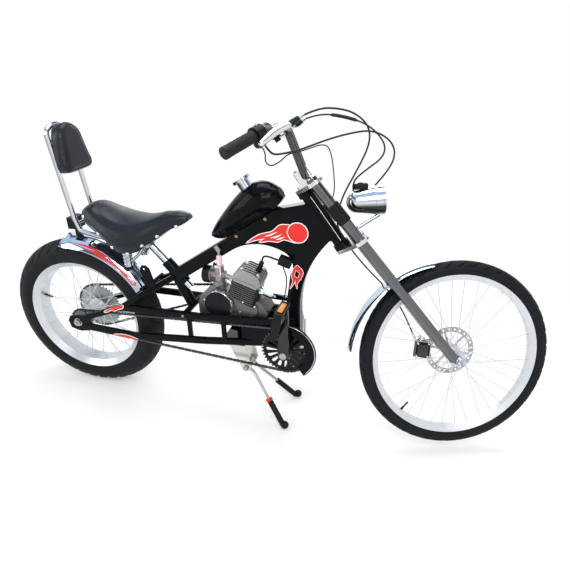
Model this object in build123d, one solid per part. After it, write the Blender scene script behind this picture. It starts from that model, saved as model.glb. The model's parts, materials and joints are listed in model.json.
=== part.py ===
from build123d import *
import math
import os

# Motorized chopper bicycle, millimetres and degrees.
# It is drawn level, measured from the rear axle: X forward, Y left, Z up.
# Steering pieces are drawn about the steering axis: d forward of it, w left, s up along it
# from the lower end of the head tube. At the end the whole bicycle is tipped back onto its
# rear tyre and centre stand, and its origin goes to the middle of its footprint.

# Clearances
SEAT_GAP = 0.3
RUN_GAP = 0.6
AXLE_GAP = 0.5

# Rear wheel
REAR_TYRE_R = 282
REAR_RIM_R = 210
REAR_BEAD_HALF = 42
REAR_RIM_DEPTH = 20
REAR_FLANGE_R = 34
REAR_FLANGE_Y = 38
REAR_HUB_R = 22
REAR_AXLE_R = 5

# Front wheel
FRONT_TYRE_R = 304
FRONT_RIM_R = 264
FRONT_BEAD_HALF = 20
FRONT_RIM_DEPTH = 18
FRONT_FLANGE_R = 27
FRONT_FLANGE_Y = 30
FRONT_HUB_R = 17
FRONT_AXLE_R = 5
SPOKE_COUNT = 36
SPOKE_R = 1.3
SPOKE_LEAD = 52
FLANGE_T = 3

# Steering head and fork
HEAD_LOW_X = 916
HEAD_LOW_Z = 349
HEAD_RAKE = 36.2
HEAD_LENGTH = 182
HEAD_TUBE_R = 20
HEAD_CUP_R = 25
HEAD_CUP_H = 9
STEM_R = 14
STEER_REST = 22
FORK_HALF = 60
LEG_R = 15.5
LEG_D_AT_HEAD = 46.8
LEG_D_AT_AXLE = 82.3
AXLE_D = 93
AXLE_S = -503.5
LEG_TOP_S = 212
CLAMP_T = 11
SLEEVE_R = 19.5
SLEEVE_LENGTH = 62
SLEEVE_S = 88

# Brake disc and caliper
DISC_R = 80
DISC_T = 2
DISC_Y = 38
DISC_BAND = 17
DISC_HOLES = 24

# Frame
BEAM_W = 44
BEAM_DEPTH = 42
BEAM_SLOPE = 33.4
BEAM_KNEE_X = 712
BEAM_KNEE_Z = 444
BEAM_TAIL_X = 345
DOWN_TUBE_X = 745
DOWN_TUBE_DEPTH = 46
DOWN_TUBE_FRONT_X = DOWN_TUBE_X + DOWN_TUBE_DEPTH
RAIL_W = 18
RAIL_H = 24
RAIL_BEND_X = 480
RAIL_Y = 70
RAIL_FRONT_Y = 44
UPPER_RAIL_Z = 80
LOWER_RAIL_Z = -10
STAY_Y = 74
STAY_W = 17
STAY_H = 20
DROPOUT_T = 8
BRIDGE_R = 7
TAB_Y = 54
TAB_HOLE_R = 4.2
BRIDGE_ANGLE = 29

# Crank, pedals and pedal chain
CRANK_X = DOWN_TUBE_X + 6.6
CRANK_Z = -18.7
CRANK_LENGTH = 160
CRANK_REST = 87.3
CRANK_SHELL_R = 24
CRANK_SHELL_HALF = 38
SPINDLE_R = 10
CHAIN_PITCH = 12.7
CHAIN_Y = 55
CHAIN_W = 7
CHAIN_H = 8
CHAINRING_TEETH = 40
COG_TEETH = 18
CRANK_ARM_Y = 84
CRANK_ARM_T = 12
PEDAL_Y = 138
PEDAL_W = 84
PEDAL_L = 92
PEDAL_T = 26
RIGHT_PEDAL_TILT = 78
LEFT_PEDAL_TILT = 38
GUARD_R = 104
GUARD_T = 4

# Engine and its chain
ENGINE_SPROCKET_TEETH = 41
DRIVE_TEETH = 10
DRIVE_X = 505
DRIVE_Z = 122
CASE_HALF = 38
CLUTCH_X = 523
CLUTCH_Z = 119
CLUTCH_R = 50
CYL_X = 596
CYL_Z = 135
CYL_LEAN = 19
FIN_L = 92
FIN_W = 88
FIN_T = 3
FIN_PITCH = 7.5
FIN_COUNT = 8
HEAD_FIN_COUNT = 7
MUFFLER_R = 15
MUFFLER_TOP_Z = 54
MUFFLER_LENGTH = 114

# Tank
TANK_LENGTH = 284
TANK_HALF = 60
TANK_TOP = 97
TANK_CROWN = 198
TANK_SEAM = 30
TANK_FOOT_HALF = 24
TANK_RUN = -238
CAP_R = 29
CAP_NECK_R = 20

# Saddle, post and backrest
SADDLE_HALF = 98
SADDLE_REAR = 78
SADDLE_LENGTH = 356
SADDLE_SEAT_Z = 310
SADDLE_HOLLOW = 70
POST_R = 13
POST_TOP = (275, 297)
POST_LOW = (410, 146.6)
BACK_POST_R = 8
BACK_POST_Y = 50
BACK_POST_TOP = (17, 636)
BACK_POST_LOW = (52, 376)
PAD_W = 132
PAD_H = 148
PAD_T = 40
PAD_Z = 588

# Rear fender
FENDER_GAP = 15
FENDER_T = 3
FENDER_HALF = 55
FENDER_DROP = 32

# Front fender
FRONT_FENDER_HALF = 33
FRONT_FENDER_DROP = 9
FRONT_FENDER_R = 309
FRONT_FENDER_BACK = 31
FRONT_FENDER_UP = 18

# Handlebar
BAR_R = 11.1
GRIP_R = 15
GRIP_LENGTH = 96
BAR_TURN = -6
CABLE_R = 2.5
WIRE_R = 1.6
GUIDE_AT = (16, 32)

# Headlamp
LAMP_R = 40
LAMP_LENGTH = 108
LAMP_RIM = 26
LAMP_TAIL_R = 32
LENS_RISE = 10
LAMP_POST_D = 62

# Centre stand
STAND_X = 602
STAND_Z = -124
STAND_HALF = 30
FOOT_X = 751.6
FOOT_Y = 90
FOOT_Z = -315.7
FOOT_LENGTH = 118
FOOT_R = 10
FOOT_PAD_R = 14
LEG_ROD_R = 5

SIDE = Plane(origin=(0, 0, 0), x_dir=(1, 0, 0), z_dir=(0, -1, 0))
HEAD_LOW = Vector(HEAD_LOW_X, 0, HEAD_LOW_Z)
STEER_UP = Vector(-math.sin(math.radians(HEAD_RAKE)), 0, math.cos(math.radians(HEAD_RAKE)))
STEER_FORWARD = Vector(math.cos(math.radians(HEAD_RAKE)), 0, math.sin(math.radians(HEAD_RAKE)))
STEER_PLANE = Plane(origin=HEAD_LOW, x_dir=STEER_FORWARD, z_dir=STEER_UP)
STEER_TURN = STEER_PLANE.location * Rot(0, 0, STEER_REST)
BAR_PLACE = Rot(0, 0, BAR_TURN)
CYL_AXIS = Vector(math.sin(math.radians(CYL_LEAN)), 0, math.cos(math.radians(CYL_LEAN)))
CYL_SIDE = Vector(math.cos(math.radians(CYL_LEAN)), 0, -math.sin(math.radians(CYL_LEAN)))
CYL_PLANE = Plane(origin=(CYL_X, 0, CYL_Z), x_dir=CYL_SIDE, z_dir=CYL_AXIS)
BEAM_DIR = Vector(math.cos(math.radians(BEAM_SLOPE)), 0, math.sin(math.radians(BEAM_SLOPE)))
BEAM_UP = Vector(-math.sin(math.radians(BEAM_SLOPE)), 0, math.cos(math.radians(BEAM_SLOPE)))
POST_DIR = (Vector(POST_LOW[0], 0, POST_LOW[1]) - Vector(POST_TOP[0], 0, POST_TOP[1])).normalized()


# Small shape helpers

def pitch_radius(teeth):
    return CHAIN_PITCH / (2 * math.sin(math.pi / teeth))


def rod(start, end, radius):
    run = Vector(*end) - Vector(*start)
    return Part(Solid.make_cylinder(radius, run.length, Plane(origin=start, z_dir=run)).wrapped)


def disc(centre, y_from, y_to, radius):
    return rod((centre[0], y_from, centre[1]), (centre[0], y_to, centre[1]), radius)


def tube(points, radius, bends):
    path = FilletPolyline(*points, radius=bends)
    return sweep(Plane(origin=path @ 0, z_dir=path % 0) * Circle(radius), path=path)


def bar(points, width, height, bend):
    path = FilletPolyline(*points, radius=bend)
    along = path % 0
    across = Vector(0, 0, 1).cross(along)
    start = Plane(origin=path @ 0, x_dir=across, z_dir=along)
    return sweep(start * RectangleRounded(width, height, height / 4), path=path)


def side_plate(face, thickness, y=0):
    return extrude(SIDE.offset(-y) * face, thickness / 2, both=True)


def outline(points):
    return make_face(Polyline(*points, close=True))


def joined(pieces):
    return pieces[0] + list(pieces[1:])


def ring_of(section, start_angle=0, arc=360):
    # A section drawn as (radius, y) turned about the Y axis, from start_angle above +X.
    turned = revolve(Plane.XY * section, axis=Axis.Y, revolution_arc=arc)
    return Rot(0, -start_angle - arc, 0) * turned


def belt(first, first_r, second, second_r):
    # The face inside a loop round two circles.
    dx = second[0] - first[0]
    dz = second[1] - first[1]
    heading = math.atan2(dz, dx)
    spread = math.acos((first_r - second_r) / math.hypot(dx, dz))

    def at(centre, radius, angle):
        return (centre[0] + radius * math.cos(angle), centre[1] + radius * math.sin(angle))

    upper, lower = heading + spread, heading - spread
    return make_face([
        Line(at(first, first_r, upper), at(second, second_r, upper)),
        ThreePointArc(at(second, second_r, upper), at(second, second_r, heading),
                      at(second, second_r, lower)),
        Line(at(second, second_r, lower), at(first, first_r, lower)),
        ThreePointArc(at(first, first_r, lower), at(first, first_r, heading + math.pi),
                      at(first, first_r, upper)),
    ])


def chain_loop(first, first_r, second, second_r, y):
    half = CHAIN_H / 2
    outer = belt(first, first_r + half, second, second_r + half)
    inner = belt(first, first_r - half, second, second_r - half)
    return side_plate(outer - inner, CHAIN_W, y)


# Wheels, drawn about their own axle along Y

def tyre(outer_r, rim_r, bead_half):
    crown = ThreePointArc((rim_r, -bead_half), (outer_r, 0), (rim_r, bead_half))
    return ring_of(make_face([crown, Line((rim_r, bead_half), (rim_r, -bead_half))]))


def wire_wheel(rim_r, bead_half, rim_depth, flange_r, flange_y, hub_r, axle_r):
    rim_top = rim_r - SEAT_GAP
    rim_low = rim_r - rim_depth
    rim = ring_of(outline([(rim_top, -bead_half), (rim_top, bead_half), (rim_low, bead_half * 0.6),
                           (rim_low, -bead_half * 0.6)]))
    hub_end = flange_y + FLANGE_T
    hub = disc((0, 0), -hub_end, hub_end, hub_r)
    flanges = [disc((0, 0), side * flange_y - FLANGE_T / 2, side * flange_y + FLANGE_T / 2, flange_r)
               for side in (-1, 1)]
    spokes = []
    for index in range(SPOKE_COUNT):
        side = 1 if index % 2 else -1
        lead = SPOKE_LEAD if (index // 2) % 2 else -SPOKE_LEAD
        rim_angle = math.radians(index * 360 / SPOKE_COUNT)
        hub_angle = rim_angle + math.radians(lead)
        hub_at = flange_r - 3
        rim_at = rim_low + 3
        inner = (hub_at * math.cos(hub_angle), side * flange_y, hub_at * math.sin(hub_angle))
        outer = (rim_at * math.cos(rim_angle), side * bead_half * 0.2, rim_at * math.sin(rim_angle))
        spokes.append(rod(inner, outer, SPOKE_R))
    wheel = joined([hub, *flanges, rim, *spokes])
    return wheel - disc((0, 0), -hub_end - 1, hub_end + 1, axle_r + AXLE_GAP)


def toothed_disc(teeth, y, bore_r):
    # A sprocket whose rim stays inside its chain.
    rim = pitch_radius(teeth) - CHAIN_H / 2 - RUN_GAP
    plate = side_plate(Circle(rim) - Circle(bore_r), 3, y)
    return plate


def rear_sprockets():
    cog_rim = pitch_radius(COG_TEETH) - CHAIN_H / 2 - RUN_GAP
    carrier_r = REAR_HUB_R + SEAT_GAP
    hub_end = REAR_FLANGE_Y + FLANGE_T
    engine_side = toothed_disc(ENGINE_SPROCKET_TEETH, CHAIN_Y, REAR_AXLE_R + AXLE_GAP)
    engine_boss = disc((0, 0), hub_end, CHAIN_Y, carrier_r) - disc((0, 0), 0, 100, REAR_AXLE_R + AXLE_GAP)
    cog = side_plate(Circle(cog_rim) - Circle(REAR_AXLE_R + AXLE_GAP), 3, -CHAIN_Y)
    cog_boss = disc((0, 0), -CHAIN_Y, -hub_end, carrier_r) - disc((0, 0), -100, 0, REAR_AXLE_R + AXLE_GAP)
    return [engine_side + engine_boss, cog + cog_boss]


def rear_axle():
    end = STAY_Y + DROPOUT_T / 2 + 16
    shaft = disc((0, 0), -end, end, REAR_AXLE_R)
    nut_in = STAY_Y + DROPOUT_T / 2
    nuts = [disc((0, 0), side * nut_in, side * (nut_in + 9), 11) for side in (-1, 1)]
    arm = side_plate(outline([(-12, -10), (-12, 10), (12, 12), (150, -16), (150, -30), (12, -14)]), 3, 62)
    spacers = [disc((0, 0), side * (CHAIN_Y + 3), side * (STAY_Y - DROPOUT_T / 2), 9) for side in (-1, 1)]
    return joined([shaft, *nuts, *spacers, arm])


def brake_disc():
    band = Circle(DISC_R) - Circle(DISC_R - DISC_BAND)
    boss = Circle(FRONT_FLANGE_R - 2)
    middle = DISC_R - DISC_BAND / 2
    arms = [Rot(0, 0, 60 * index + 12) * Pos(DISC_R / 2, 0) * Rectangle(middle, 7) for index in range(6)]
    holes = [Rot(0, 0, 360 / DISC_HOLES * index) * Pos(middle, 0) * Circle(3.6)
             for index in range(DISC_HOLES)]
    face = band + arms + boss
    face = face - holes - Circle(FRONT_AXLE_R + AXLE_GAP)
    seat = disc((0, 0), FRONT_FLANGE_Y + FLANGE_T, DISC_Y, FRONT_HUB_R)
    return side_plate(face, DISC_T, DISC_Y) + (seat - disc((0, 0), 0, 100, FRONT_AXLE_R + AXLE_GAP))


# Frame

def beam_point(run, rise=0):
    # A point along the beam's top edge, from its knee backwards is negative.
    knee = Vector(BEAM_KNEE_X, 0, BEAM_KNEE_Z)
    return knee + BEAM_DIR * run + BEAM_UP * rise


def frame_beam():
    tail_run = (BEAM_TAIL_X - BEAM_KNEE_X) / BEAM_DIR.X
    arch_run = tail_run + 252
    tail_top = beam_point(tail_run)
    tail_low = beam_point(tail_run, -BEAM_DEPTH)
    arch_start = beam_point(arch_run, -BEAM_DEPTH)
    head_top = HEAD_LOW + STEER_UP * (HEAD_LENGTH - 30)
    head_low = HEAD_LOW + STEER_UP * 18
    rear_x, front_x = DOWN_TUBE_X, DOWN_TUBE_FRONT_X
    arch_end = (rear_x - 8, 315)
    arch_mid = (arch_start.X + 0.464 * (arch_end[0] - arch_start.X), 330)
    throat = (head_low.X - 22, head_low.Z - 3.5)
    face = make_face([
        Line((head_top.X, head_top.Z), (BEAM_KNEE_X, BEAM_KNEE_Z)),
        Line((BEAM_KNEE_X, BEAM_KNEE_Z), (tail_top.X, tail_top.Z)),
        Line((tail_top.X, tail_top.Z), (tail_low.X, tail_low.Z)),
        Line((tail_low.X, tail_low.Z), (arch_start.X, arch_start.Z)),
        ThreePointArc((arch_start.X, arch_start.Z), arch_mid, arch_end),
        ThreePointArc(arch_end, (rear_x + 21, 286), (rear_x + 16, 240)),
        Line((rear_x + 16, 240), (rear_x, 130)),
        Line((rear_x, 130), (rear_x, CRANK_Z)),
        Line((rear_x, CRANK_Z), (front_x, CRANK_Z)),
        Line((front_x, CRANK_Z), (front_x, 120)),
        TangentArc((front_x, 120), throat, tangent=(0, 1)),
        Line(throat, (head_low.X, head_low.Z)),
        Line((head_low.X, head_low.Z), (head_top.X, head_top.Z)),
    ])
    beam = side_plate(face, BEAM_W)
    return fillet(beam.edges().group_by(Axis.Y)[0] + beam.edges().group_by(Axis.Y)[-1], 6)


def upper_rail_points(side):
    return [(DOWN_TUBE_X + 25, side * (BEAM_W / 2 - 4), UPPER_RAIL_Z),
            (DOWN_TUBE_X - 10, side * RAIL_FRONT_Y, UPPER_RAIL_Z),
            (RAIL_BEND_X, side * RAIL_Y, UPPER_RAIL_Z),
            (182, side * STAY_Y, UPPER_RAIL_Z)]


def lower_rail_points(side):
    return [(CRANK_X, side * (CRANK_SHELL_HALF - 8), CRANK_Z + 12),
            (CRANK_X - 95, side * (RAIL_FRONT_Y - 6), LOWER_RAIL_Z),
            (RAIL_BEND_X, side * RAIL_Y, LOWER_RAIL_Z),
            (215, side * STAY_Y, LOWER_RAIL_Z - 17),
            (20, side * STAY_Y, LOWER_RAIL_Z - 4)]


def seat_stay_points(side):
    top = beam_point((352 - BEAM_KNEE_X) / BEAM_DIR.X, -BEAM_DEPTH / 2)
    return [(10, side * STAY_Y, 12),
            (182, side * STAY_Y, UPPER_RAIL_Z),
            (255, side * (STAY_Y - 4), 130),
            (top.X, side * (BEAM_W / 2 - 4), top.Z)]


def dropout(side):
    face = outline([(-34, -26), (-40, 2), (-30, 20), (14, 24), (40, 32), (52, 24), (44, -4), (56, -14),
                    (40, -30), (0, -36)])
    plate = side_plate(fillet(face.vertices(), 5), DROPOUT_T, side * STAY_Y)
    return plate - disc((0, 0), side * STAY_Y - 20, side * STAY_Y + 20, REAR_AXLE_R + 0.2)


def frame():
    head = HEAD_LOW + STEER_UP * HEAD_LENGTH
    low_cup = HEAD_LOW - STEER_UP * HEAD_CUP_H
    high_cup = head + STEER_UP * HEAD_CUP_H
    pieces = [frame_beam(),
              rod(HEAD_LOW, head, HEAD_TUBE_R),
              rod(low_cup, (low_cup + STEER_UP * 16), HEAD_CUP_R),
              rod(high_cup, (high_cup - STEER_UP * 16), HEAD_CUP_R)]
    for side in (-1, 1):
        pieces.append(bar(upper_rail_points(side), RAIL_W, RAIL_H, 60))
        pieces.append(bar(lower_rail_points(side), RAIL_W, RAIL_H, 60))
        pieces.append(bar(seat_stay_points(side), STAY_W, STAY_H, 60))
        pieces.append(dropout(side))
        middle = (UPPER_RAIL_Z + LOWER_RAIL_Z) / 2
        for strut_x, strut_y in ((425, RAIL_Y - 1), (545, RAIL_Y - 4)):
            pieces.append(Pos(strut_x, side * strut_y, middle) * Box(16, 6, UPPER_RAIL_Z - LOWER_RAIL_Z))
        gusset = Box(146, 4, UPPER_RAIL_Z - LOWER_RAIL_Z)
        pieces.append(Pos(672, side * (RAIL_FRONT_Y + 2), middle) * gusset)
    cross_top = UPPER_RAIL_Z - 8
    for cross_x, half in ((465, RAIL_Y), (652, RAIL_Y - 20)):
        pieces.append(Pos(cross_x, 0, cross_top - 4) * Box(28, 2 * half, 8))
    pieces.append(Pos(566, 0, LOWER_RAIL_Z - 10) * Box(86, 2 * RAIL_Y - 30, 6))
    pieces.append(rod((410, -RAIL_Y, UPPER_RAIL_Z), (410, RAIL_Y, UPPER_RAIL_Z), 10))
    bridge_at = REAR_TYRE_R + FENDER_GAP + FENDER_T + BRIDGE_R + SEAT_GAP
    bridge_x = bridge_at * math.cos(math.radians(BRIDGE_ANGLE))
    bridge_z = bridge_at * math.sin(math.radians(BRIDGE_ANGLE))
    pieces.append(rod((bridge_x, -RAIL_Y + 4, bridge_z), (bridge_x, RAIL_Y - 4, bridge_z), BRIDGE_R))
    sleeve_top = Vector(POST_TOP[0], 0, POST_TOP[1]) + POST_DIR * 84
    sleeve_low = Vector(POST_TOP[0], 0, POST_TOP[1]) + POST_DIR * 178
    pieces.append(rod(sleeve_top, sleeve_low, POST_R + 6))
    pieces.append(rod((362, 0, 182), (410, 0, UPPER_RAIL_Z), 17))
    pieces.append(fender_tab())
    pieces.append(disc((CRANK_X, CRANK_Z), -CRANK_SHELL_HALF, CRANK_SHELL_HALF, CRANK_SHELL_R))
    whole = joined(pieces)
    stem_bore = rod((HEAD_LOW - STEER_UP * 40), (head + STEER_UP * 40), STEM_R + AXLE_GAP)
    post_bore = rod((POST_TOP[0], 0, POST_TOP[1]), (POST_LOW[0], 0, POST_LOW[1]), POST_R + SEAT_GAP)
    spindle_bore = disc((CRANK_X, CRANK_Z), -60, 60, SPINDLE_R + AXLE_GAP)
    return whole - stem_bore - post_bore - spindle_bore


# Tank

def tank_section(run, half, foot_half, foot, top, seam):
    # Across the tank: a narrow foot on the beam, widest at the seam, arched above it.
    shoulder = (0.74 * half, seam + 0.72 * (top - seam))
    face = make_face([
        Line((-foot_half, foot), (foot_half, foot)),
        Line((foot_half, foot), (half, seam)),
        ThreePointArc((half, seam), shoulder, (0, top)),
        ThreePointArc((0, top), (-shoulder[0], shoulder[1]), (-half, seam)),
        Line((-half, seam), (-foot_half, foot)),
    ])
    return Plane(origin=(run, 0, 0), x_dir=(0, 1, 0), z_dir=(1, 0, 0)) * face


def fuel_tank():
    half, top, seam = TANK_HALF, TANK_TOP, TANK_SEAM
    body = loft([
        tank_section(0.04 * TANK_LENGTH, 11, 6, 20, 36, 26),
        tank_section(0.2 * TANK_LENGTH, 0.6 * half, 20, 1, 0.58 * top, seam),
        tank_section(TANK_CROWN, half, TANK_FOOT_HALF, 0.2, top, seam),
        tank_section(0.86 * TANK_LENGTH, 0.84 * half, TANK_FOOT_HALF, 1, 0.93 * top, seam),
        tank_section(TANK_LENGTH, 16, 10, 14, 0.48 * top, seam - 4),
    ])
    seat = Pos(TANK_LENGTH / 2, 0, 0.2) * Box(2 * TANK_LENGTH, 4 * half, 60,
                                              align=(Align.CENTER, Align.CENTER, Align.MAX))
    return Plane(origin=beam_point(TANK_RUN), x_dir=BEAM_DIR, z_dir=BEAM_UP).location * (body - seat)


def tank_cap():
    foot = beam_point(TANK_RUN + TANK_CROWN, TANK_TOP - 6)
    neck = rod(foot, foot + BEAM_UP * 26, CAP_NECK_R)
    lid = rod(foot + BEAM_UP * 26, foot + BEAM_UP * 35, CAP_R)
    return neck + lid - fuel_tank()


def fuel_tap():
    # It sits against the beam's right side behind the tank, with its filter below.
    reach = 8
    top = beam_point(TANK_RUN + 12, -3) + Vector(0, -BEAM_W / 2 - reach - SEAT_GAP, 0)
    body = rod(top, top - BEAM_UP * 20, reach)
    low = top - BEAM_UP * 16
    hose = rod(low, low + Vector(0, 0, -30), 4)
    bowl = rod(low + Vector(0, 0, -22), low + Vector(0, 0, -52), reach)
    return joined([body, hose, bowl])


# Engine

def engine_case():
    face = outline([(450, 72), (676, 72), (690, 98), (668, 138), (600, 152), (556, 154), (500, 152),
                    (458, 140), (450, 110)])
    body = side_plate(fillet(face.vertices(), 8), 2 * CASE_HALF)
    clutch_case = disc((CLUTCH_X, CLUTCH_Z), -CASE_HALF - 6, -CASE_HALF + 2, CLUTCH_R + 2)
    drive_case = disc((DRIVE_X, DRIVE_Z), CASE_HALF - 2, CASE_HALF + 6, 40)
    shaft = disc((DRIVE_X, DRIVE_Z), CASE_HALF, CHAIN_Y + 5, 7)
    drive_rim = pitch_radius(DRIVE_TEETH) - CHAIN_H / 2 - RUN_GAP
    sprocket = disc((DRIVE_X, DRIVE_Z), CHAIN_Y - 1.5, CHAIN_Y + 1.5, drive_rim)
    generator = disc((622, 112), -CASE_HALF - 5, -CASE_HALF + 2, 34)
    seat = Box(FIN_L + 10, FIN_W + 10, 120, align=(Align.CENTER, Align.CENTER, Align.MIN))
    whole = joined([body, clutch_case, drive_case, generator, shaft, sprocket])
    return whole - CYL_PLANE.location * seat


def clutch_cover():
    outer = -CASE_HALF - 6
    return disc((CLUTCH_X, CLUTCH_Z), outer - 5, outer, CLUTCH_R - 4)


def engine_cylinder():
    core = Cylinder(34, FIN_PITCH * FIN_COUNT + 6, align=(Align.CENTER, Align.CENTER, Align.MIN))
    pieces = [core]
    for index in range(FIN_COUNT):
        fin = extrude(RectangleRounded(FIN_L, FIN_W, 14), FIN_T)
        pieces.append(Pos(0, 0, 5 + index * FIN_PITCH) * fin)
    inlet = Rot(0, 90, 0) * Cylinder(16, FIN_L, align=(Align.CENTER, Align.CENTER, Align.CENTER))
    pieces.append(Pos(0, 0, 46) * inlet)
    return CYL_PLANE.location * joined(pieces)


def engine_head():
    base_s = FIN_PITCH * FIN_COUNT + 6
    base = Pos(0, 0, base_s) * extrude(RectangleRounded(FIN_L, FIN_W, 14), 10)
    dome = make_face([
        Line((-FIN_L / 2, 8), (-FIN_L / 2, 22)),
        ThreePointArc((-FIN_L / 2, 22), (-FIN_L / 2 + 11, 38), (-18, 46)),
        Line((-18, 46), (18, 46)),
        ThreePointArc((18, 46), (FIN_L / 2 - 11, 38), (FIN_L / 2, 22)),
        Line((FIN_L / 2, 22), (FIN_L / 2, 8)),
        Line((FIN_L / 2, 8), (-FIN_L / 2, 8)),
    ])
    core = Box(FIN_L - 26, FIN_W - 16, 26, align=(Align.CENTER, Align.CENTER, Align.MIN))
    pieces = [base, Pos(0, 0, base_s) * core]
    spacing = (FIN_W - 8) / (HEAD_FIN_COUNT - 1)
    for index in range(HEAD_FIN_COUNT):
        pieces.append(Pos(0, 0, base_s) * side_plate(dome, 4, -FIN_W / 2 + 4 + index * spacing))
    return CYL_PLANE.location * joined(pieces)


def spark_plug():
    base_s = FIN_PITCH * FIN_COUNT + 6 + 46 + SEAT_GAP
    nut = Pos(22, 0, base_s) * Cylinder(11, 9, align=(Align.CENTER, Align.CENTER, Align.MIN))
    boot = Pos(22, 0, base_s + 9) * Cylinder(8, 24, align=(Align.CENTER, Align.CENTER, Align.MIN))
    return CYL_PLANE.location * (nut + boot)


def carburettor():
    inlet_end = CYL_PLANE.from_local_coords((-FIN_L / 2 - SEAT_GAP, 0, 46))
    inlet_out = CYL_PLANE.from_local_coords((-FIN_L / 2 - 40, 0, 46))
    inlet = rod(inlet_end, inlet_out, 10)
    flange = rod(inlet_end, (inlet_end - CYL_SIDE * 5), 17)
    centre_x = inlet_out.X - 14
    body = rod((centre_x, 0, 168), (centre_x, 0, 238), 17)
    bowl = rod((centre_x, 0, 160), (centre_x, 0, 186), 22)
    throat = rod((centre_x + 22, 0, 206), (centre_x - 24, 0, 206), 15)
    cleaner = rod((centre_x - 24, 0, 204), (centre_x - 48, 0, 204), 27)
    return joined([inlet, flange, body, bowl, throat, cleaner])


def exhaust():
    # Its pipe passes left of the down tube to a muffler that hangs beside the crank shell.
    port = CYL_PLANE.from_local_coords((FIN_L / 2 + SEAT_GAP, 0, 46))
    out = port + CYL_SIDE * 42
    muffler_x = DOWN_TUBE_X + 34
    muffler_y = CRANK_SHELL_HALF + MUFFLER_R + 1
    path = [port, out, (DOWN_TUBE_X - 9, 40, 126), (DOWN_TUBE_X + 19, muffler_y, 96),
            (muffler_x, muffler_y, MUFFLER_TOP_Z - 10)]
    pipe = tube(path, 11, 24)
    flange = rod(port, (port + CYL_SIDE * 6), 19)
    top = Vector(muffler_x, muffler_y, MUFFLER_TOP_Z)
    low = top - Vector(0, 0, MUFFLER_LENGTH)
    muffler = rod(top, low, MUFFLER_R)
    tail = rod(low, (low + Vector(-2, 0, -24)), 6)
    return joined([pipe, flange, muffler, tail])


def ignition_box():
    return Pos(DOWN_TUBE_X + 6, -BEAM_W / 2 - 11, 289) * Rot(0, 18, 0) * Box(40, 22, 28)


# Saddle and backrest

def saddle_section(x, half, top, low):
    # Across the saddle: a flat underside, round shoulders and a slightly arched top.
    rise = top - low
    shoulder = (0.7 * half, top - 0.12 * rise)
    face = make_face([
        Line((-0.9 * half, low), (0.9 * half, low)),
        ThreePointArc((0.9 * half, low), (half, low + 0.45 * rise), shoulder),
        ThreePointArc(shoulder, (0, top), (-shoulder[0], shoulder[1])),
        ThreePointArc((-shoulder[0], shoulder[1]), (-half, low + 0.45 * rise), (-0.9 * half, low)),
    ])
    return Plane(origin=(x, 0, 0), x_dir=(0, 1, 0), z_dir=(1, 0, 0)) * face


def saddle():
    # Stations along it: share of its length, share of its half width, top and underside.
    stations = [(0, 0.48, 408, 378), (0.09, 0.72, 422, 352), (0.33, 0.98, 391, 300), (0.49, 1, 383, 284),
                (0.65, 0.76, 391, 309), (0.83, 0.42, 409, 358), (1, 0.2, 404, 389)]
    body = loft([saddle_section(SADDLE_REAR + along * SADDLE_LENGTH, wide * SADDLE_HALF, top, low)
                 for along, wide, top, low in stations])
    hollow = outline([(20, 250), (20, SADDLE_SEAT_Z + 42), (60, SADDLE_SEAT_Z + 34), (225, SADDLE_SEAT_Z),
                      (318, SADDLE_SEAT_Z), (420, 362), (460, 250)])
    return body - side_plate(hollow, 2 * SADDLE_HOLLOW)


def saddle_post():
    top = Vector(POST_TOP[0], 0, POST_TOP[1])
    pieces = [rod(top, (POST_LOW[0], 0, POST_LOW[1]), POST_R)]
    pieces.append(Pos(270, 0, SADDLE_SEAT_Z - 12) * Box(36, 46, 24))
    for side in (-1, 1):
        route = [(270, side * 18, SADDLE_SEAT_Z - 16), (252, side * 34, 262), (226, side * 48, 238)]
        pieces.append(tube(route, 5, 10))
        pieces.append(rod((222, side * 50, 228), (222, side * 50, SADDLE_SEAT_Z), 13))
    return joined(pieces)


def backrest_posts():
    posts = []
    under = (BACK_POST_R + SEAT_GAP) * math.hypot(165, 34) / 165
    bend_x = BACK_POST_LOW[0] + 14
    low = SADDLE_SEAT_Z + 34 * (225 - bend_x) / 165 - under
    end = SADDLE_SEAT_Z + 34 * (225 - 200) / 165 - under
    for side in (-1, 1):
        y = side * BACK_POST_Y
        posts.append(tube([(BACK_POST_TOP[0], y, BACK_POST_TOP[1]), (BACK_POST_LOW[0], y, BACK_POST_LOW[1]),
                           (bend_x, y, low), (200, y, end)], BACK_POST_R, 12))
    bridge = rod((BACK_POST_LOW[0] + 6, -BACK_POST_Y, 358), (BACK_POST_LOW[0] + 6, BACK_POST_Y, 358), 5)
    return joined([*posts, bridge])


def backrest_pad():
    # An arched pad, wider below, on the front of the posts.
    run = BACK_POST_LOW[0] - BACK_POST_TOP[0]
    rise = BACK_POST_TOP[1] - BACK_POST_LOW[1]
    lean = math.atan2(run, rise)
    half, high = PAD_W / 2, PAD_H / 2
    face = make_face([
        Line((-half + 6, -high), (half - 6, -high)),
        Line((half - 6, -high), (half, -high + 26)),
        Line((half, -high + 26), (0.8 * half, 0.34 * high)),
        ThreePointArc((0.8 * half, 0.34 * high), (0, high), (-0.8 * half, 0.34 * high)),
        Line((-0.8 * half, 0.34 * high), (-half, -high + 26)),
        Line((-half, -high + 26), (-half + 6, -high)),
    ])
    pad = extrude(fillet(face.vertices().group_by(Axis.Y)[0], 20), PAD_T)
    pad = fillet(pad.edges().group_by(Axis.Z)[-1], 14)
    at = (BACK_POST_TOP[0] + (BACK_POST_TOP[1] - PAD_Z) * run / rise, 0, PAD_Z)
    facing = Plane(origin=at, x_dir=(0, 1, 0), z_dir=(math.cos(lean), 0, math.sin(lean)))
    return facing.offset(BACK_POST_R + SEAT_GAP).location * pad


# Fenders

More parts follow.
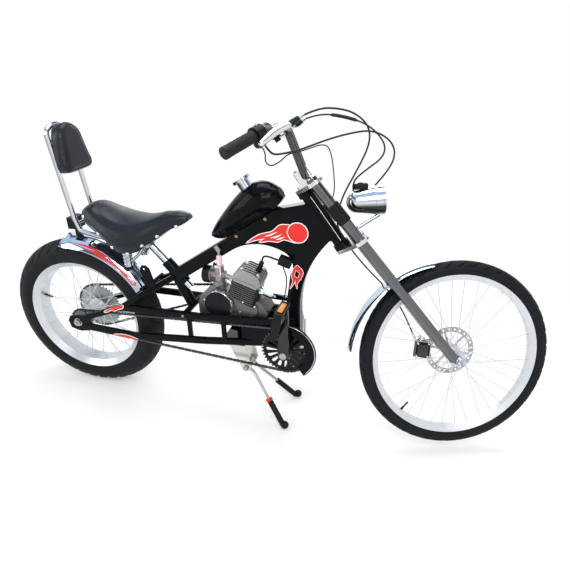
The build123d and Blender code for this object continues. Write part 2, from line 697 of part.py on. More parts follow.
def fender_section(edge_r, drop, half):
    outer = edge_r + drop
    return make_face([
        ThreePointArc((edge_r, -half), (outer, 0), (edge_r, half)),
        Line((edge_r, half), (edge_r, half - FENDER_T)),
        ThreePointArc((edge_r, half - FENDER_T), (outer - FENDER_T, 0), (edge_r, -half + FENDER_T)),
        Line((edge_r, -half + FENDER_T), (edge_r, -half)),
    ])


def rear_fender():
    crown_r = REAR_TYRE_R + FENDER_GAP + FENDER_T
    edge_r = crown_r - FENDER_DROP
    section = fender_section(edge_r, FENDER_DROP, FENDER_HALF)
    body = ring_of(section, BRIDGE_ANGLE - 2, 92 - BRIDGE_ANGLE)
    flip_r = 92
    flip_axis = Axis((0, 0, edge_r + flip_r), (0, 1, 0))
    upright = Plane(origin=(0, 0, 0), x_dir=(0, 0, 1), z_dir=(-1, 0, 0)) * section
    tail = revolve(upright, axis=flip_axis, revolution_arc=20)
    return body + tail


def fender_tab():
    # A flat tab with a hole, standing on the right stay.
    tab_face = outline([(280, 140), (262, 218), (268, 234), (284, 236), (296, 226), (312, 160)])
    tab = side_plate(fillet(tab_face.vertices(), 4), 4, -TAB_Y)
    return tab - disc((277, 223), -TAB_Y - 10, -TAB_Y + 10, TAB_HOLE_R)


def tail_reflector():
    crown = REAR_TYRE_R + FENDER_GAP + FENDER_T
    stalk = Pos(20, 0, crown + SEAT_GAP) * Box(14, 22, 30, align=(Align.CENTER, Align.CENTER, Align.MIN))
    return stalk + Pos(15, 0, crown + 46) * Box(30, 50, 38)


def front_fender():
    # Its arc is set back from the hub, so that it stands further off the tyre behind.
    section = fender_section(FRONT_FENDER_R - FRONT_FENDER_DROP, FRONT_FENDER_DROP, FRONT_FENDER_HALF)
    centre_s = AXLE_S + FRONT_FENDER_UP
    fender = Pos(AXLE_D - FRONT_FENDER_BACK, 0, centre_s) * ring_of(section, 65, 74)
    bridge_s = centre_s + FRONT_FENDER_R + 2
    half = FORK_HALF - LEG_R - SEAT_GAP
    bridge = rod((leg_d(bridge_s), -half, bridge_s), (leg_d(bridge_s), half, bridge_s), 5)
    return fender + bridge


# Steering

def leg_d(s):
    return LEG_D_AT_HEAD + (LEG_D_AT_AXLE - LEG_D_AT_HEAD) * s / AXLE_S


def leg_point(s, side):
    return (leg_d(s), side * FORK_HALF, s)


def fork_clamps():
    # Upper and lower plates joined by the stem that turns in the head tube.
    upper_s = HEAD_LENGTH + HEAD_CUP_H + RUN_GAP
    lower_s = -HEAD_CUP_H - RUN_GAP - CLAMP_T
    pieces = []
    for low, leg_s in ((upper_s, upper_s + CLAMP_T / 2), (lower_s, lower_s + CLAMP_T / 2)):
        d = leg_d(leg_s)
        face = make_hull([*(Pos(-2, 0) * Circle(24)).edges(),
                          *(Pos(d, FORK_HALF) * Circle(24)).edges(),
                          *(Pos(d, -FORK_HALF) * Circle(24)).edges()])
        pieces.append(extrude(Pos(0, 0, low) * face, CLAMP_T))
    pieces.append(Pos(0, 0, lower_s) * Cylinder(STEM_R, upper_s + CLAMP_T - lower_s + 8,
                                                align=(Align.CENTER, Align.CENTER, Align.MIN)))
    clamps = joined(pieces)
    for side in (-1, 1):
        clamps = clamps - rod(leg_point(LEG_TOP_S + 30, side), leg_point(-60, side), LEG_R + SEAT_GAP)
    guide = rod((*GUIDE_AT, lower_s - 5), (*GUIDE_AT, lower_s + CLAMP_T + 5), CABLE_R + SEAT_GAP)
    clamps = clamps - guide
    return clamps


def fork_legs():
    legs = []
    for side in (-1, 1):
        low_s = AXLE_S + 16
        leg = rod(leg_point(LEG_TOP_S, side), leg_point(low_s, side), LEG_R)
        tip = make_hull([*(Pos(AXLE_D, AXLE_S) * Circle(13)).edges(),
                         *(Pos(leg_d(low_s + 8), low_s + 8) * Circle(14)).edges()])
        plate = side_plate(tip, 8, side * FORK_HALF)
        hole = disc((AXLE_D, AXLE_S), side * FORK_HALF - 20, side * FORK_HALF + 20, FRONT_AXLE_R + 0.2)
        legs.append((leg + plate) - hole)
    return legs


def fork_sleeves():
    half = SLEEVE_LENGTH / 2
    sleeves = []
    for side in (-1, 1):
        outer = rod(leg_point(SLEEVE_S + half, side), leg_point(SLEEVE_S - half, side), SLEEVE_R)
        bore = rod(leg_point(SLEEVE_S + 60, side), leg_point(SLEEVE_S - 60, side), LEG_R + SEAT_GAP)
        sleeves.append(outer - bore)
    return sleeves


def front_axle():
    end = FORK_HALF + 20
    nut_in = FORK_HALF + 4
    shaft = disc((AXLE_D, AXLE_S), -end, end, FRONT_AXLE_R)
    nuts = [disc((AXLE_D, AXLE_S), side * nut_in, side * (nut_in + 9), 11) for side in (-1, 1)]
    spacers = [disc((AXLE_D, AXLE_S), side * (DISC_Y + 6), side * (FORK_HALF - 4), 9) for side in (-1, 1)]
    return joined([shaft, *nuts, *spacers])


# The handlebar, from a grip's outer end to the stem, in the bar's own turned frame.
BAR_RUN = [(-69, 336, 384), (19, 243, 378), (52, 140, 370), (58, 42, 352), (27, 40, 224)]


def handlebar():
    right = [(d, -w, s) for d, w, s in BAR_RUN]
    left = [(d, w, s) for d, w, s in reversed(BAR_RUN)]
    return tube(right + left, BAR_R, 24)


def bar_stem():
    low = HEAD_LENGTH + HEAD_CUP_H + RUN_GAP + CLAMP_T
    bar_d, _, bar_s = BAR_RUN[-1]
    block = Pos(bar_d - 5, 0, low) * Box(46, 34, 44, align=(Align.CENTER, Align.CENTER, Align.MIN))
    block = fillet(block.edges().filter_by(Axis.Z), 8)
    bar_bore = rod((bar_d, -60, bar_s), (bar_d, 60, bar_s), BAR_R + SEAT_GAP)
    stem_bore = rod((0, 0, low - 2), (0, 0, low + 10), STEM_R + SEAT_GAP)
    return block - bar_bore - stem_bore


def bar_frame(side):
    # Along the grip from its outer end inwards.
    outer = Vector(BAR_RUN[0][0], side * BAR_RUN[0][1], BAR_RUN[0][2])
    inner = Vector(BAR_RUN[1][0], side * BAR_RUN[1][1], BAR_RUN[1][2])
    return outer, (inner - outer).normalized()


def grips():
    result = []
    for side in (-1, 1):
        outer, along = bar_frame(side)
        start = outer - along * 4
        grip = rod(start, outer + along * GRIP_LENGTH, GRIP_R)
        bore = rod((outer - along * SEAT_GAP), (outer + along * 140), BAR_R + SEAT_GAP)
        result.append(grip - bore)
    return result


def control_housings():
    result = []
    for side in (-1, 1):
        outer, along = bar_frame(side)
        start = outer + along * (GRIP_LENGTH + RUN_GAP)
        body = rod(start, start + along * 26, GRIP_R + 5)
        pod_at = start + along * 20 + Vector(-9, 0, 0)
        pod = rod(pod_at, pod_at + Vector(0, 0, -30), 10)
        bore = rod((outer + along * 60), (outer + along * 160), BAR_R + SEAT_GAP)
        result.append(body + pod - bore)
    return result


def brake_levers():
    result = []
    for side in (-1, 1):
        pivot = (76, side * 205, 355)
        inner = Vector(BAR_RUN[1][0], side * BAR_RUN[1][1], BAR_RUN[1][2])
        bend = Vector(BAR_RUN[2][0], side * BAR_RUN[2][1], BAR_RUN[2][2])
        along = (bend - inner).normalized()
        at = inner + along * 34
        blade = tube([pivot, (48, side * 238, 360), (4, side * 285, 356)], 6, 60)
        perch = tube([at, at + Vector(30, 0, -6), pivot], 7, 8)
        boot = rod(pivot, (108, side * 190, 355), 6)
        ring = rod(at - along * 9, at + along * 9, BAR_R + 6)
        bore = rod(at - along * 30, at + along * 60, BAR_R + SEAT_GAP)
        result.append(joined([blade, perch, ring, boot]) - bore)
    return result


# Cable routes: (d, w, s) points chosen along the loops in front of the steering head.
BRAKE_ROUTE = [(88, -200.7, 355.2), (137, -172, 348), (182, -138, 322), (222, -100, 284), (240, -66, 234),
               (222, -34, 192), (160, -4, 152), (84, 22, 112), (30, 31, 66), (*GUIDE_AT, 24),
               (*GUIDE_AT, -52), (24, 42, -128), (38, 46, -205), (42, 48, -280),
               (34, 46, -345), (22, 43, -400)]
CLUTCH_ROUTE = [(127.8, 178, 355.2), (172, 152, 342), (218, 110, 300), (262, 50, 236), (268, 6, 168),
                (238, -20, 138), (170, -20, 138), (126, -4, 132), (115.2, 0, 107.2)]
THROTTLE_ROUTE = [(-21, -247, 347.8), (-21, -247, 335), (-17, -236, 320), (6, -205, 308), (45, -165, 292),
                  (118, -120, 273), (183, -90, 250), (242, -60, 221), (274, -38, 171), (272, -18, 127),
                  (234, 4, 96), (177.5, 12, 82.5)]
WIRE_ROUTE = [(-29, -253, 347.8), (-30, -253, 334), (-44, -247, 318), (-38, -234, 301), (-11, -214, 298),
              (15, -202, 302), (46, -173, 287), (114, -128, 268), (111, -100, 232), (88, -84, 185),
              (66, -76, 148), (52.5, -69.3, 136)]


def cable(route, radius):
    bends = []
    for before, at, after in zip(route, route[1:], route[2:]):
        run_in = Vector(*at) - Vector(*before)
        run_out = Vector(*after) - Vector(*at)
        turn = math.radians(run_in.get_angle(run_out))
        bends.append(0.45 * min(run_in.length, run_out.length) / math.tan(turn / 2))
    return tube(route, radius, bends)


# Headlamp, along its own axis in the steering frame
LAMP_REAR = (80, 0, 92)
LAMP_DIP = 31


def lamp_plane():
    dip = math.radians(LAMP_DIP)
    return Plane(origin=LAMP_REAR, x_dir=(0, 1, 0), z_dir=(math.cos(dip), 0, -math.sin(dip)))


def headlamp():
    # A bullet shell: a ball end, a cone out to the rim and a shallow recess for the lens.
    mouth = (LAMP_R, LAMP_LENGTH - LAMP_RIM)
    to_mouth = math.hypot(mouth[0], mouth[1] - LAMP_TAIL_R)
    lean = math.atan2(mouth[1] - LAMP_TAIL_R, mouth[0]) - math.acos(LAMP_TAIL_R / to_mouth)
    middle = (lean - math.pi / 2) / 2
    meet = (LAMP_TAIL_R * math.cos(lean), LAMP_TAIL_R + LAMP_TAIL_R * math.sin(lean))
    half_way = (LAMP_TAIL_R * math.cos(middle), LAMP_TAIL_R + LAMP_TAIL_R * math.sin(middle))
    bowl = make_face([
        ThreePointArc((0, 0), half_way, meet),
        Line(meet, mouth),
        Line(mouth, (LAMP_R, LAMP_LENGTH)),
        Line((LAMP_R, LAMP_LENGTH), (0, LAMP_LENGTH)),
        Line((0, LAMP_LENGTH), (0, 0)),
    ])
    return lamp_plane().location * revolve(Plane.XZ * bowl, axis=Axis.Z)


def headlamp_lens():
    reach = LAMP_R - 2
    ball = (reach ** 2 + LENS_RISE ** 2) / (2 * LENS_RISE)
    middle = (math.pi / 2 + math.acos(reach / ball)) / 2
    half_way = (ball * math.cos(middle), LAMP_LENGTH + LENS_RISE - ball + ball * math.sin(middle))
    dome = make_face([
        Line((0, LAMP_LENGTH), (reach, LAMP_LENGTH)),
        ThreePointArc((reach, LAMP_LENGTH), half_way, (0, LAMP_LENGTH + LENS_RISE)),
        Line((0, LAMP_LENGTH + LENS_RISE), (0, LAMP_LENGTH)),
    ])
    return lamp_plane().location * revolve(Plane.XZ * dome, axis=Axis.Z)


def lamp_bracket():
    # A post from the lower clamp to the lamp's underside.
    base_s = -HEAD_CUP_H - RUN_GAP
    under = lamp_plane().from_local_coords((0, -LAMP_R - 2, LAMP_LENGTH - LAMP_RIM / 2))
    foot = rod((LAMP_POST_D, 0, base_s), (LAMP_POST_D, 0, base_s + 6), 12)
    post = tube([(LAMP_POST_D, 0, base_s + 3), (LAMP_POST_D, 0, base_s + 22), under], 5, 8)
    shell = lamp_plane().location * Cylinder(LAMP_R + SEAT_GAP, 3 * LAMP_LENGTH)
    return joined([foot, post]) - shell


def caliper():
    # It straddles the disc behind the left leg, on an arm from that leg.
    body = Pos(AXLE_D - 72, DISC_Y + 1, AXLE_S + 58) * Rot(0, 40, 0) * Box(46, 24, 54)
    slot = disc((AXLE_D, AXLE_S), DISC_Y - DISC_T / 2 - 2, DISC_Y + DISC_T / 2 + 2, DISC_R + 4)
    arm = Pos(AXLE_D - 44, DISC_Y + 9, AXLE_S + 58) * Box(56, 8, 18)
    leg = rod(leg_point(AXLE_S + 120, 1), leg_point(AXLE_S + 10, 1), LEG_R + SEAT_GAP)
    return body - slot + arm - leg


# Crank and pedals, about the crank axis

def chainring():
    rim = pitch_radius(CHAINRING_TEETH) - CHAIN_H / 2 - RUN_GAP
    face = Circle(rim) - Circle(SPINDLE_R + SEAT_GAP)
    slots = []
    for index in range(16):
        ends = [Pos(rim - 16, 0) * Circle(6), Pos(30, 0) * Circle(2)]
        slot = make_hull([edge for end in ends for edge in end.edges()])
        slots.append(Rot(0, 0, index * 22.5) * slot)
    return side_plate(face - slots, 3, -CHAIN_Y)


def cranks():
    end = CRANK_ARM_Y + CRANK_ARM_T / 2
    pieces = [disc((0, 0), -end, end, SPINDLE_R)]
    for side in (-1, 1):
        direction = math.radians(CRANK_REST if side < 0 else CRANK_REST + 180)
        tip = (CRANK_LENGTH * math.cos(direction), CRANK_LENGTH * math.sin(direction))
        arm = make_hull([*Circle(18).edges(), *(Pos(*tip) * Circle(13)).edges()])
        plate = side_plate(arm, CRANK_ARM_T, side * CRANK_ARM_Y)
        pieces.append(plate - disc(tip, side * CRANK_ARM_Y - 20, side * CRANK_ARM_Y + 20, 6 + AXLE_GAP))
    boss = disc((0, 0), -CHAIN_Y - 10, -CHAIN_Y - 1.5 - SEAT_GAP, 24)
    pieces.append(boss)
    return joined(pieces)


def pedal(side, tilt):
    body = Pos(0, side * PEDAL_Y, 0) * Box(PEDAL_L, PEDAL_W, PEDAL_T)
    window = Pos(0, side * PEDAL_Y, 0) * Box(PEDAL_L - 24, PEDAL_W - 24, PEDAL_T + 2)
    core = disc((0, 0), side * (PEDAL_Y - PEDAL_W / 2), side * (PEDAL_Y + PEDAL_W / 2), 11)
    spindle = disc((0, 0), side * (CRANK_ARM_Y - CRANK_ARM_T / 2), side * PEDAL_Y, 6)
    return Rot(0, -tilt, 0) * joined([body - window, core, spindle])


def chain_guard():
    # A crescent outside the chainring's front half, and the small guard over the rear cog.
    y = -CHAIN_Y - CHAIN_W / 2 - 4
    face = Circle(GUARD_R) - Circle(GUARD_R - 34)
    keep = outline([(0, 0), (-60, 200), (200, 200), (200, -200), (150, -200)])
    crescent = side_plate(face & keep, GUARD_T, y)
    tab_w = CHAIN_Y + CHAIN_W / 2 + 4 - RAIL_FRONT_Y - RAIL_W / 2
    tab_w = tab_w - SEAT_GAP
    tab = Pos(-16, y + tab_w / 2, UPPER_RAIL_Z - CRANK_Z - 4) * Box(12, tab_w, 14)
    return Pos(CRANK_X, 0, CRANK_Z) * (crescent + tab)


# Centre stand

def stand_bracket():
    top = LOWER_RAIL_Z - 13 - SEAT_GAP
    cheeks = []
    for side in (-1, 1):
        face = outline([(540, top), (600, top), (622, STAND_Z + 6), (612, STAND_Z - 14),
                        (590, STAND_Z - 12)])
        cheek = side_plate(face, 4, side * (STAND_HALF + 4))
        cheeks.append(cheek)
    back = Pos(570, 0, top - 3) * Box(60, 2 * STAND_HALF + 12, 6)
    pivot = disc((STAND_X, STAND_Z), -STAND_HALF - 10, STAND_HALF + 10, 5)
    return joined([*cheeks, back, pivot])


def stand_leg_points(side):
    foot = Vector(FOOT_X, side * FOOT_Y, FOOT_Z)
    hip = Vector(STAND_X + 24, side * (STAND_HALF - 8), STAND_Z - 26)
    return hip, foot


def stand_legs():
    pieces = [disc((STAND_X, STAND_Z), -STAND_HALF + 1, STAND_HALF - 1, 11)]
    for side in (-1, 1):
        hip, foot = stand_leg_points(side)
        along = (foot - hip).normalized()
        knee = foot - along * (FOOT_LENGTH + 4)
        pieces.append(tube([(STAND_X, side * (STAND_HALF - 8), STAND_Z), hip, knee], LEG_ROD_R, 12))
        pieces.append(rod(knee, (foot - along * 40), LEG_ROD_R))
    legs = joined(pieces)
    return legs - disc((STAND_X, STAND_Z), -STAND_HALF - 30, STAND_HALF + 30, 5 + AXLE_GAP)


def stand_feet():
    feet = []
    for side in (-1, 1):
        hip, foot = stand_leg_points(side)
        along = (foot - hip).normalized()
        top = foot - along * FOOT_LENGTH
        shank = rod(top, (foot - along * 14), FOOT_R)
        pad = Pos(foot.X, foot.Y, foot.Z + FOOT_PAD_R) * Sphere(FOOT_PAD_R)
        bore = rod((top - along * 10), (foot - along * (40 - SEAT_GAP)), LEG_ROD_R + SEAT_GAP)
        feet.append(shank + pad - bore)
    return feet


# Placing: the bicycle is tipped back about its rear axle until the stand's feet and the
# rear tyre share one floor, and then its footprint is centred on the origin.
FOOT_REACH = math.hypot(FOOT_X, FOOT_Z)
REST_TIP = math.degrees(math.atan2(-FOOT_Z, FOOT_X) - math.asin(REAR_TYRE_R / FOOT_REACH))
TIP = Rot(0, -REST_TIP, 0)
CRANK_PLACE = Pos(CRANK_X, 0, CRANK_Z)


def pedal_place(side):
    direction = math.radians(CRANK_REST if side < 0 else CRANK_REST + 180)
    return CRANK_PLACE * Pos(CRANK_LENGTH * math.cos(direction), 0, CRANK_LENGTH * math.sin(direction))


def build_nodes():
    crank = (CRANK_X, CRANK_Z)
    drive = (DRIVE_X, DRIVE_Z)
    front_hub = Pos(AXLE_D, 0, AXLE_S)
    chassis = {
        "frame": frame(),
        "fuel_tank": fuel_tank(),
        "tank_cap": tank_cap(),
        "fuel_tap": fuel_tap(),
        "engine_case": engine_case(),
        "clutch_cover": clutch_cover(),
        "engine_cylinder": engine_cylinder(),
        "engine_head": engine_head(),
        "spark_plug": spark_plug(),
        "carburettor": carburettor(),
        "exhaust": exhaust(),
        "ignition_box": ignition_box(),
        "engine_chain": chain_loop((0, 0), pitch_radius(ENGINE_SPROCKET_TEETH), drive,
                                   pitch_radius(DRIVE_TEETH), CHAIN_Y),
        "pedal_chain": chain_loop((0, 0), pitch_radius(COG_TEETH), crank,
                                  pitch_radius(CHAINRING_TEETH), -CHAIN_Y),
        "chain_guard": chain_guard(),
        "saddle": saddle(),
        "saddle_post": saddle_post(),
        "backrest_posts": backrest_posts(),
        "backrest_pad": backrest_pad(),
        "rear_fender": rear_fender(),
        "tail_reflector": tail_reflector(),
        "rear_axle": rear_axle(),
        "stand_bracket": stand_bracket(),
    }
    steering = {
        "fork_clamps": fork_clamps(),
        "fork_legs": fork_legs(),
        "fork_sleeves": fork_sleeves(),
        "front_axle": front_axle(),
        "handlebar": BAR_PLACE * handlebar(),
        "bar_stem": BAR_PLACE * bar_stem(),
        "grips": [BAR_PLACE * piece for piece in grips()],
        "control_housings": [BAR_PLACE * piece for piece in control_housings()],
        "brake_levers": [BAR_PLACE * piece for piece in brake_levers()],
        "brake_cable": cable(BRAKE_ROUTE, CABLE_R),
        "clutch_cable": cable(CLUTCH_ROUTE, CABLE_R),
        "throttle_cable": cable(THROTTLE_ROUTE, CABLE_R),
        "switch_wire": cable(WIRE_ROUTE, WIRE_R),
        "headlamp": headlamp(),
        "headlamp_lens": headlamp_lens(),
        "lamp_bracket": lamp_bracket(),
        "front_fender": front_fender(),
        "brake_caliper": caliper(),
        "front_tyre": front_hub * tyre(FRONT_TYRE_R, FRONT_RIM_R, FRONT_BEAD_HALF),
        "front_wheel": front_hub * wire_wheel(FRONT_RIM_R, FRONT_BEAD_HALF, FRONT_RIM_DEPTH, FRONT_FLANGE_R,
                                              FRONT_FLANGE_Y, FRONT_HUB_R, FRONT_AXLE_R),
        "brake_disc": front_hub * brake_disc(),
    }
    rear = {
        "rear_tyre": tyre(REAR_TYRE_R, REAR_RIM_R, REAR_BEAD_HALF),
        "rear_wheel": wire_wheel(REAR_RIM_R, REAR_BEAD_HALF, REAR_RIM_DEPTH, REAR_FLANGE_R, REAR_FLANGE_Y,
                                 REAR_HUB_R, REAR_AXLE_R),
        "rear_sprockets": rear_sprockets(),
        "chainring": CRANK_PLACE * chainring(),
        "cranks": CRANK_PLACE * cranks(),
        "right_pedal": pedal_place(-1) * pedal(-1, RIGHT_PEDAL_TILT),
        "left_pedal": pedal_place(1) * pedal(1, LEFT_PEDAL_TILT),
        "stand_legs": stand_legs(),
        "stand_feet": stand_feet(),
    }

    def solids_of(shape, move):
        pieces = shape if isinstance(shape, list) else [shape]
        return [move * solid for piece in pieces for solid in piece.solids()]

    nodes = {name: solids_of(shape, TIP) for name, shape in {**chassis, **rear}.items()}
    nodes.update({name: solids_of(shape, TIP * STEER_TURN) for name, shape in steering.items()})
    return nodes


def footprint_shift(nodes):
    boxes = [solid.bounding_box() for solids in nodes.values() for solid in solids]
    low = [min(getattr(box.min, axis) for box in boxes) for axis in "XYZ"]
    high = [max(getattr(box.max, axis) for box in boxes) for axis in "XYZ"]
    return Pos(-(low[0] + high[0]) / 2, -(low[1] + high[1]) / 2, -low[2])


def main():
    os.makedirs("parts", exist_ok=True)
    nodes = build_nodes()
    shift = footprint_shift(nodes)
    for name, solids in nodes.items():
        placed = [shift * solid for solid in solids]
        export_step(placed[0] if len(placed) == 1 else Compound(placed), f"parts/{name}.step")
        print(name, len(placed), round(sum(solid.volume for solid in placed) / 1000, 1))


if __name__ == "__main__":
    main()
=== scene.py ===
import json
import math

import bmesh
import bpy
import numpy as np
from mathutils import Matrix, Vector
from mathutils.bvhtree import BVHTree
from mathutils.geometry import delaunay_2d_cdt


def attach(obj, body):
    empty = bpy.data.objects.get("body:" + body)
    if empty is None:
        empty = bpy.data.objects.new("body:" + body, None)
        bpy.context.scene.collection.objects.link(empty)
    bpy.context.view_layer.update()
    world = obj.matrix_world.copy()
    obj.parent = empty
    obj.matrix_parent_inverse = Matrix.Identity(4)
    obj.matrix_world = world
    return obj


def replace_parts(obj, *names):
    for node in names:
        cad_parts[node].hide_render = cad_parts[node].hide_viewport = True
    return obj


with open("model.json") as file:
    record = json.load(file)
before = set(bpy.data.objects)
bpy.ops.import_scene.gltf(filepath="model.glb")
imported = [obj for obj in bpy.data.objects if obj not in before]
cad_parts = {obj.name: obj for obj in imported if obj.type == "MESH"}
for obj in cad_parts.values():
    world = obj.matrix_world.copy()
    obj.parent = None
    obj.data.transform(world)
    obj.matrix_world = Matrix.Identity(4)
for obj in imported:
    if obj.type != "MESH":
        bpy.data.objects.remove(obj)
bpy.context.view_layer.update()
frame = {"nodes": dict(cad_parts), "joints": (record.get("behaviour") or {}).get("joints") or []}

# Places, in millimetres. level(x, y, z) is from the rear axle with the bicycle level, and
# fork(d, w, s) is from the lower end of the head tube: forward of the turned fork, left, up.
joints = {joint["name"]: joint for joint in frame["joints"]}
rear_axle = Vector(joints["rear_wheel_spin"]["pos_m"])
crank = Vector(joints["crank_spin"]["pos_m"])
head = Vector(joints["steering"]["pos_m"])
fork_up = Vector(joints["steering"]["axis"])
fork_left = Vector(joints["front_wheel_spin"]["axis"])
fork_forward = fork_left.cross(fork_up)
CRANK_LEVEL = (751.6, -18.7)
tip = math.atan2(crank.z - rear_axle.z, crank.x - rear_axle.x)
tip -= math.atan2(CRANK_LEVEL[1], CRANK_LEVEL[0])
tip_matrix = Matrix.Rotation(-tip, 3, "Y")
LEFT = Vector((0, 1, 0))
BAR_TURN = math.radians(-6)
BEAM_SLOPE = math.radians(33.4)
BEAM_KNEE = (712, 444)
BEAM_FACE_Y = 22
CYL_LEAN = math.radians(19)
CYL_FOOT = (596, 135)
LEG_D = 46.8
LEG_SLOPE = 35.5 / 503.5
LEG_Y = 60
LEG_TOP_S = 212
LAMP_DIP = math.radians(31)
LAMP_REAR = (80, 92)


def level(x, y, z):
    return rear_axle + tip_matrix @ (Vector((x, y, z)) / 1000)


def level_way(x, y, z):
    return tip_matrix @ Vector((x, y, z))


def fork(d, w, s):
    return head + (fork_forward * d + fork_left * w + fork_up * s) / 1000


def fork_way(d, w, s):
    return fork_forward * d + fork_left * w + fork_up * s


def leg_d(s):
    # How far forward of the steering axis the fork legs' middle is at that height.
    return LEG_D - LEG_SLOPE * s


def bar(d, w, s):
    # As fork(), in the frame of the handlebar, which is turned a little in its clamp.
    turned_d = d * math.cos(BAR_TURN) - w * math.sin(BAR_TURN)
    turned_w = d * math.sin(BAR_TURN) + w * math.cos(BAR_TURN)
    return fork(turned_d, turned_w, s)


def around(centre, radius, degrees, y):
    # A place on a circle about a crosswise axis at centre (x, z).
    angle = math.radians(degrees)
    return level(centre[0] + radius * math.cos(angle), y, centre[1] + radius * math.sin(angle))


def show(item):
    bpy.context.scene.collection.objects.link(item)


def beam(run, rise, y):
    x = BEAM_KNEE[0] + run * math.cos(BEAM_SLOPE) - rise * math.sin(BEAM_SLOPE)
    return level(x, y, BEAM_KNEE[1] + run * math.sin(BEAM_SLOPE) + rise * math.cos(BEAM_SLOPE))


def cylinder(a, b, s):
    x = CYL_FOOT[0] + a * math.cos(CYL_LEAN) + s * math.sin(CYL_LEAN)
    return level(x, b, CYL_FOOT[1] - a * math.sin(CYL_LEAN) + s * math.cos(CYL_LEAN))


def lamp(x, y, z):
    d = LAMP_REAR[0] + z * math.cos(LAMP_DIP) + y * math.sin(LAMP_DIP)
    return fork(d, x, LAMP_REAR[1] - z * math.sin(LAMP_DIP) + y * math.cos(LAMP_DIP))


# Camera, solved from the photograph
CAMERA_AT = (1168.9, -1426.6, 917.9)
CAMERA_RIGHT = (0.9713, 0.2378, 0.0)
CAMERA_UP = (-0.1096, 0.4477, 0.8874)
FOCAL_PX = 520.06
CENTRE_PX = (309.91, 298.35)
PHOTO_PX = 570
camera_right = level_way(*CAMERA_RIGHT).normalized()
camera_back = camera_right.cross(level_way(*CAMERA_UP)).normalized()
camera_up = camera_back.cross(camera_right)


def add_camera():
    data = bpy.data.cameras.new("camera")
    data.sensor_fit = "HORIZONTAL"
    data.sensor_width = 36
    data.lens = FOCAL_PX / PHOTO_PX * 36
    data.shift_x = 0.5 - CENTRE_PX[0] / PHOTO_PX
    data.shift_y = CENTRE_PX[1] / PHOTO_PX - 0.5
    data.clip_end = 60
    camera = bpy.data.objects.new("camera", data)
    show(camera)
    rows = Matrix((camera_right, camera_up, camera_back)).transposed().to_4x4()
    rows.translation = level(*CAMERA_AT)
    camera.matrix_world = rows
    bpy.context.scene.camera = camera


def sight(px, py):
    # The direction in which the photograph shows that pixel.
    across = (px - CENTRE_PX[0]) / FOCAL_PX
    upward = (CENTRE_PX[1] - py) / FOCAL_PX
    return (camera_right * across + camera_up * upward - camera_back).normalized()


# Light, floor and world

def new_material(name):
    material = bpy.data.materials.new(name)
    material.use_nodes = True
    nodes = material.node_tree.nodes
    return material, nodes, material.node_tree.links, nodes["Principled BSDF"]


def background_rays(nodes, links):
    # One where the camera, a mirror or glass looks at the backdrop.
    path = nodes.new("ShaderNodeLightPath")
    seen = path.outputs["Is Camera Ray"]
    for ray in ("Is Glossy Ray", "Is Transmission Ray"):
        most = nodes.new("ShaderNodeMath")
        most.operation = "MAXIMUM"
        links.new(seen, most.inputs[0])
        links.new(path.outputs[ray], most.inputs[1])
        seen = most.outputs[0]
    return seen


def add_world():
    # White round the horizon, a grey band above it and a pale blue sky overhead.
    world = bpy.data.worlds.new("studio")
    bpy.context.scene.world = world
    world.use_nodes = True
    nodes, links = world.node_tree.nodes, world.node_tree.links
    light = nodes["Background"]
    light.inputs["Color"].default_value = (0.96, 0.98, 1.0, 1)
    light.inputs["Strength"].default_value = 0.62
    coordinates = nodes.new("ShaderNodeTexCoord")
    split = nodes.new("ShaderNodeSeparateXYZ")
    links.new(coordinates.outputs["Generated"], split.inputs[0])
    ramp = nodes.new("ShaderNodeValToRGB")
    stops = ramp.color_ramp.elements
    stops[0].position, stops[0].color = 0.0, (1, 1, 1, 1)
    stops[1].position, stops[1].color = 1.0, (0.62, 0.74, 0.92, 1)
    for place, colour in ((0.52, (1, 1, 1)), (0.58, (0.10, 0.11, 0.13)), (0.70, (0.16, 0.19, 0.24)),
                          (0.80, (0.62, 0.74, 0.92))):
        stop = stops.new(place)
        stop.color = (*colour, 1)
    links.new(split.outputs["Z"], ramp.inputs["Fac"])
    seen = nodes.new("ShaderNodeBackground")
    links.new(ramp.outputs["Color"], seen.inputs["Color"])
    mix = nodes.new("ShaderNodeMixShader")
    links.new(background_rays(nodes, links), mix.inputs["Fac"])
    links.new(light.outputs[0], mix.inputs[1])
    links.new(seen.outputs[0], mix.inputs[2])
    links.new(mix.outputs[0], nodes["World Output"].inputs["Surface"])


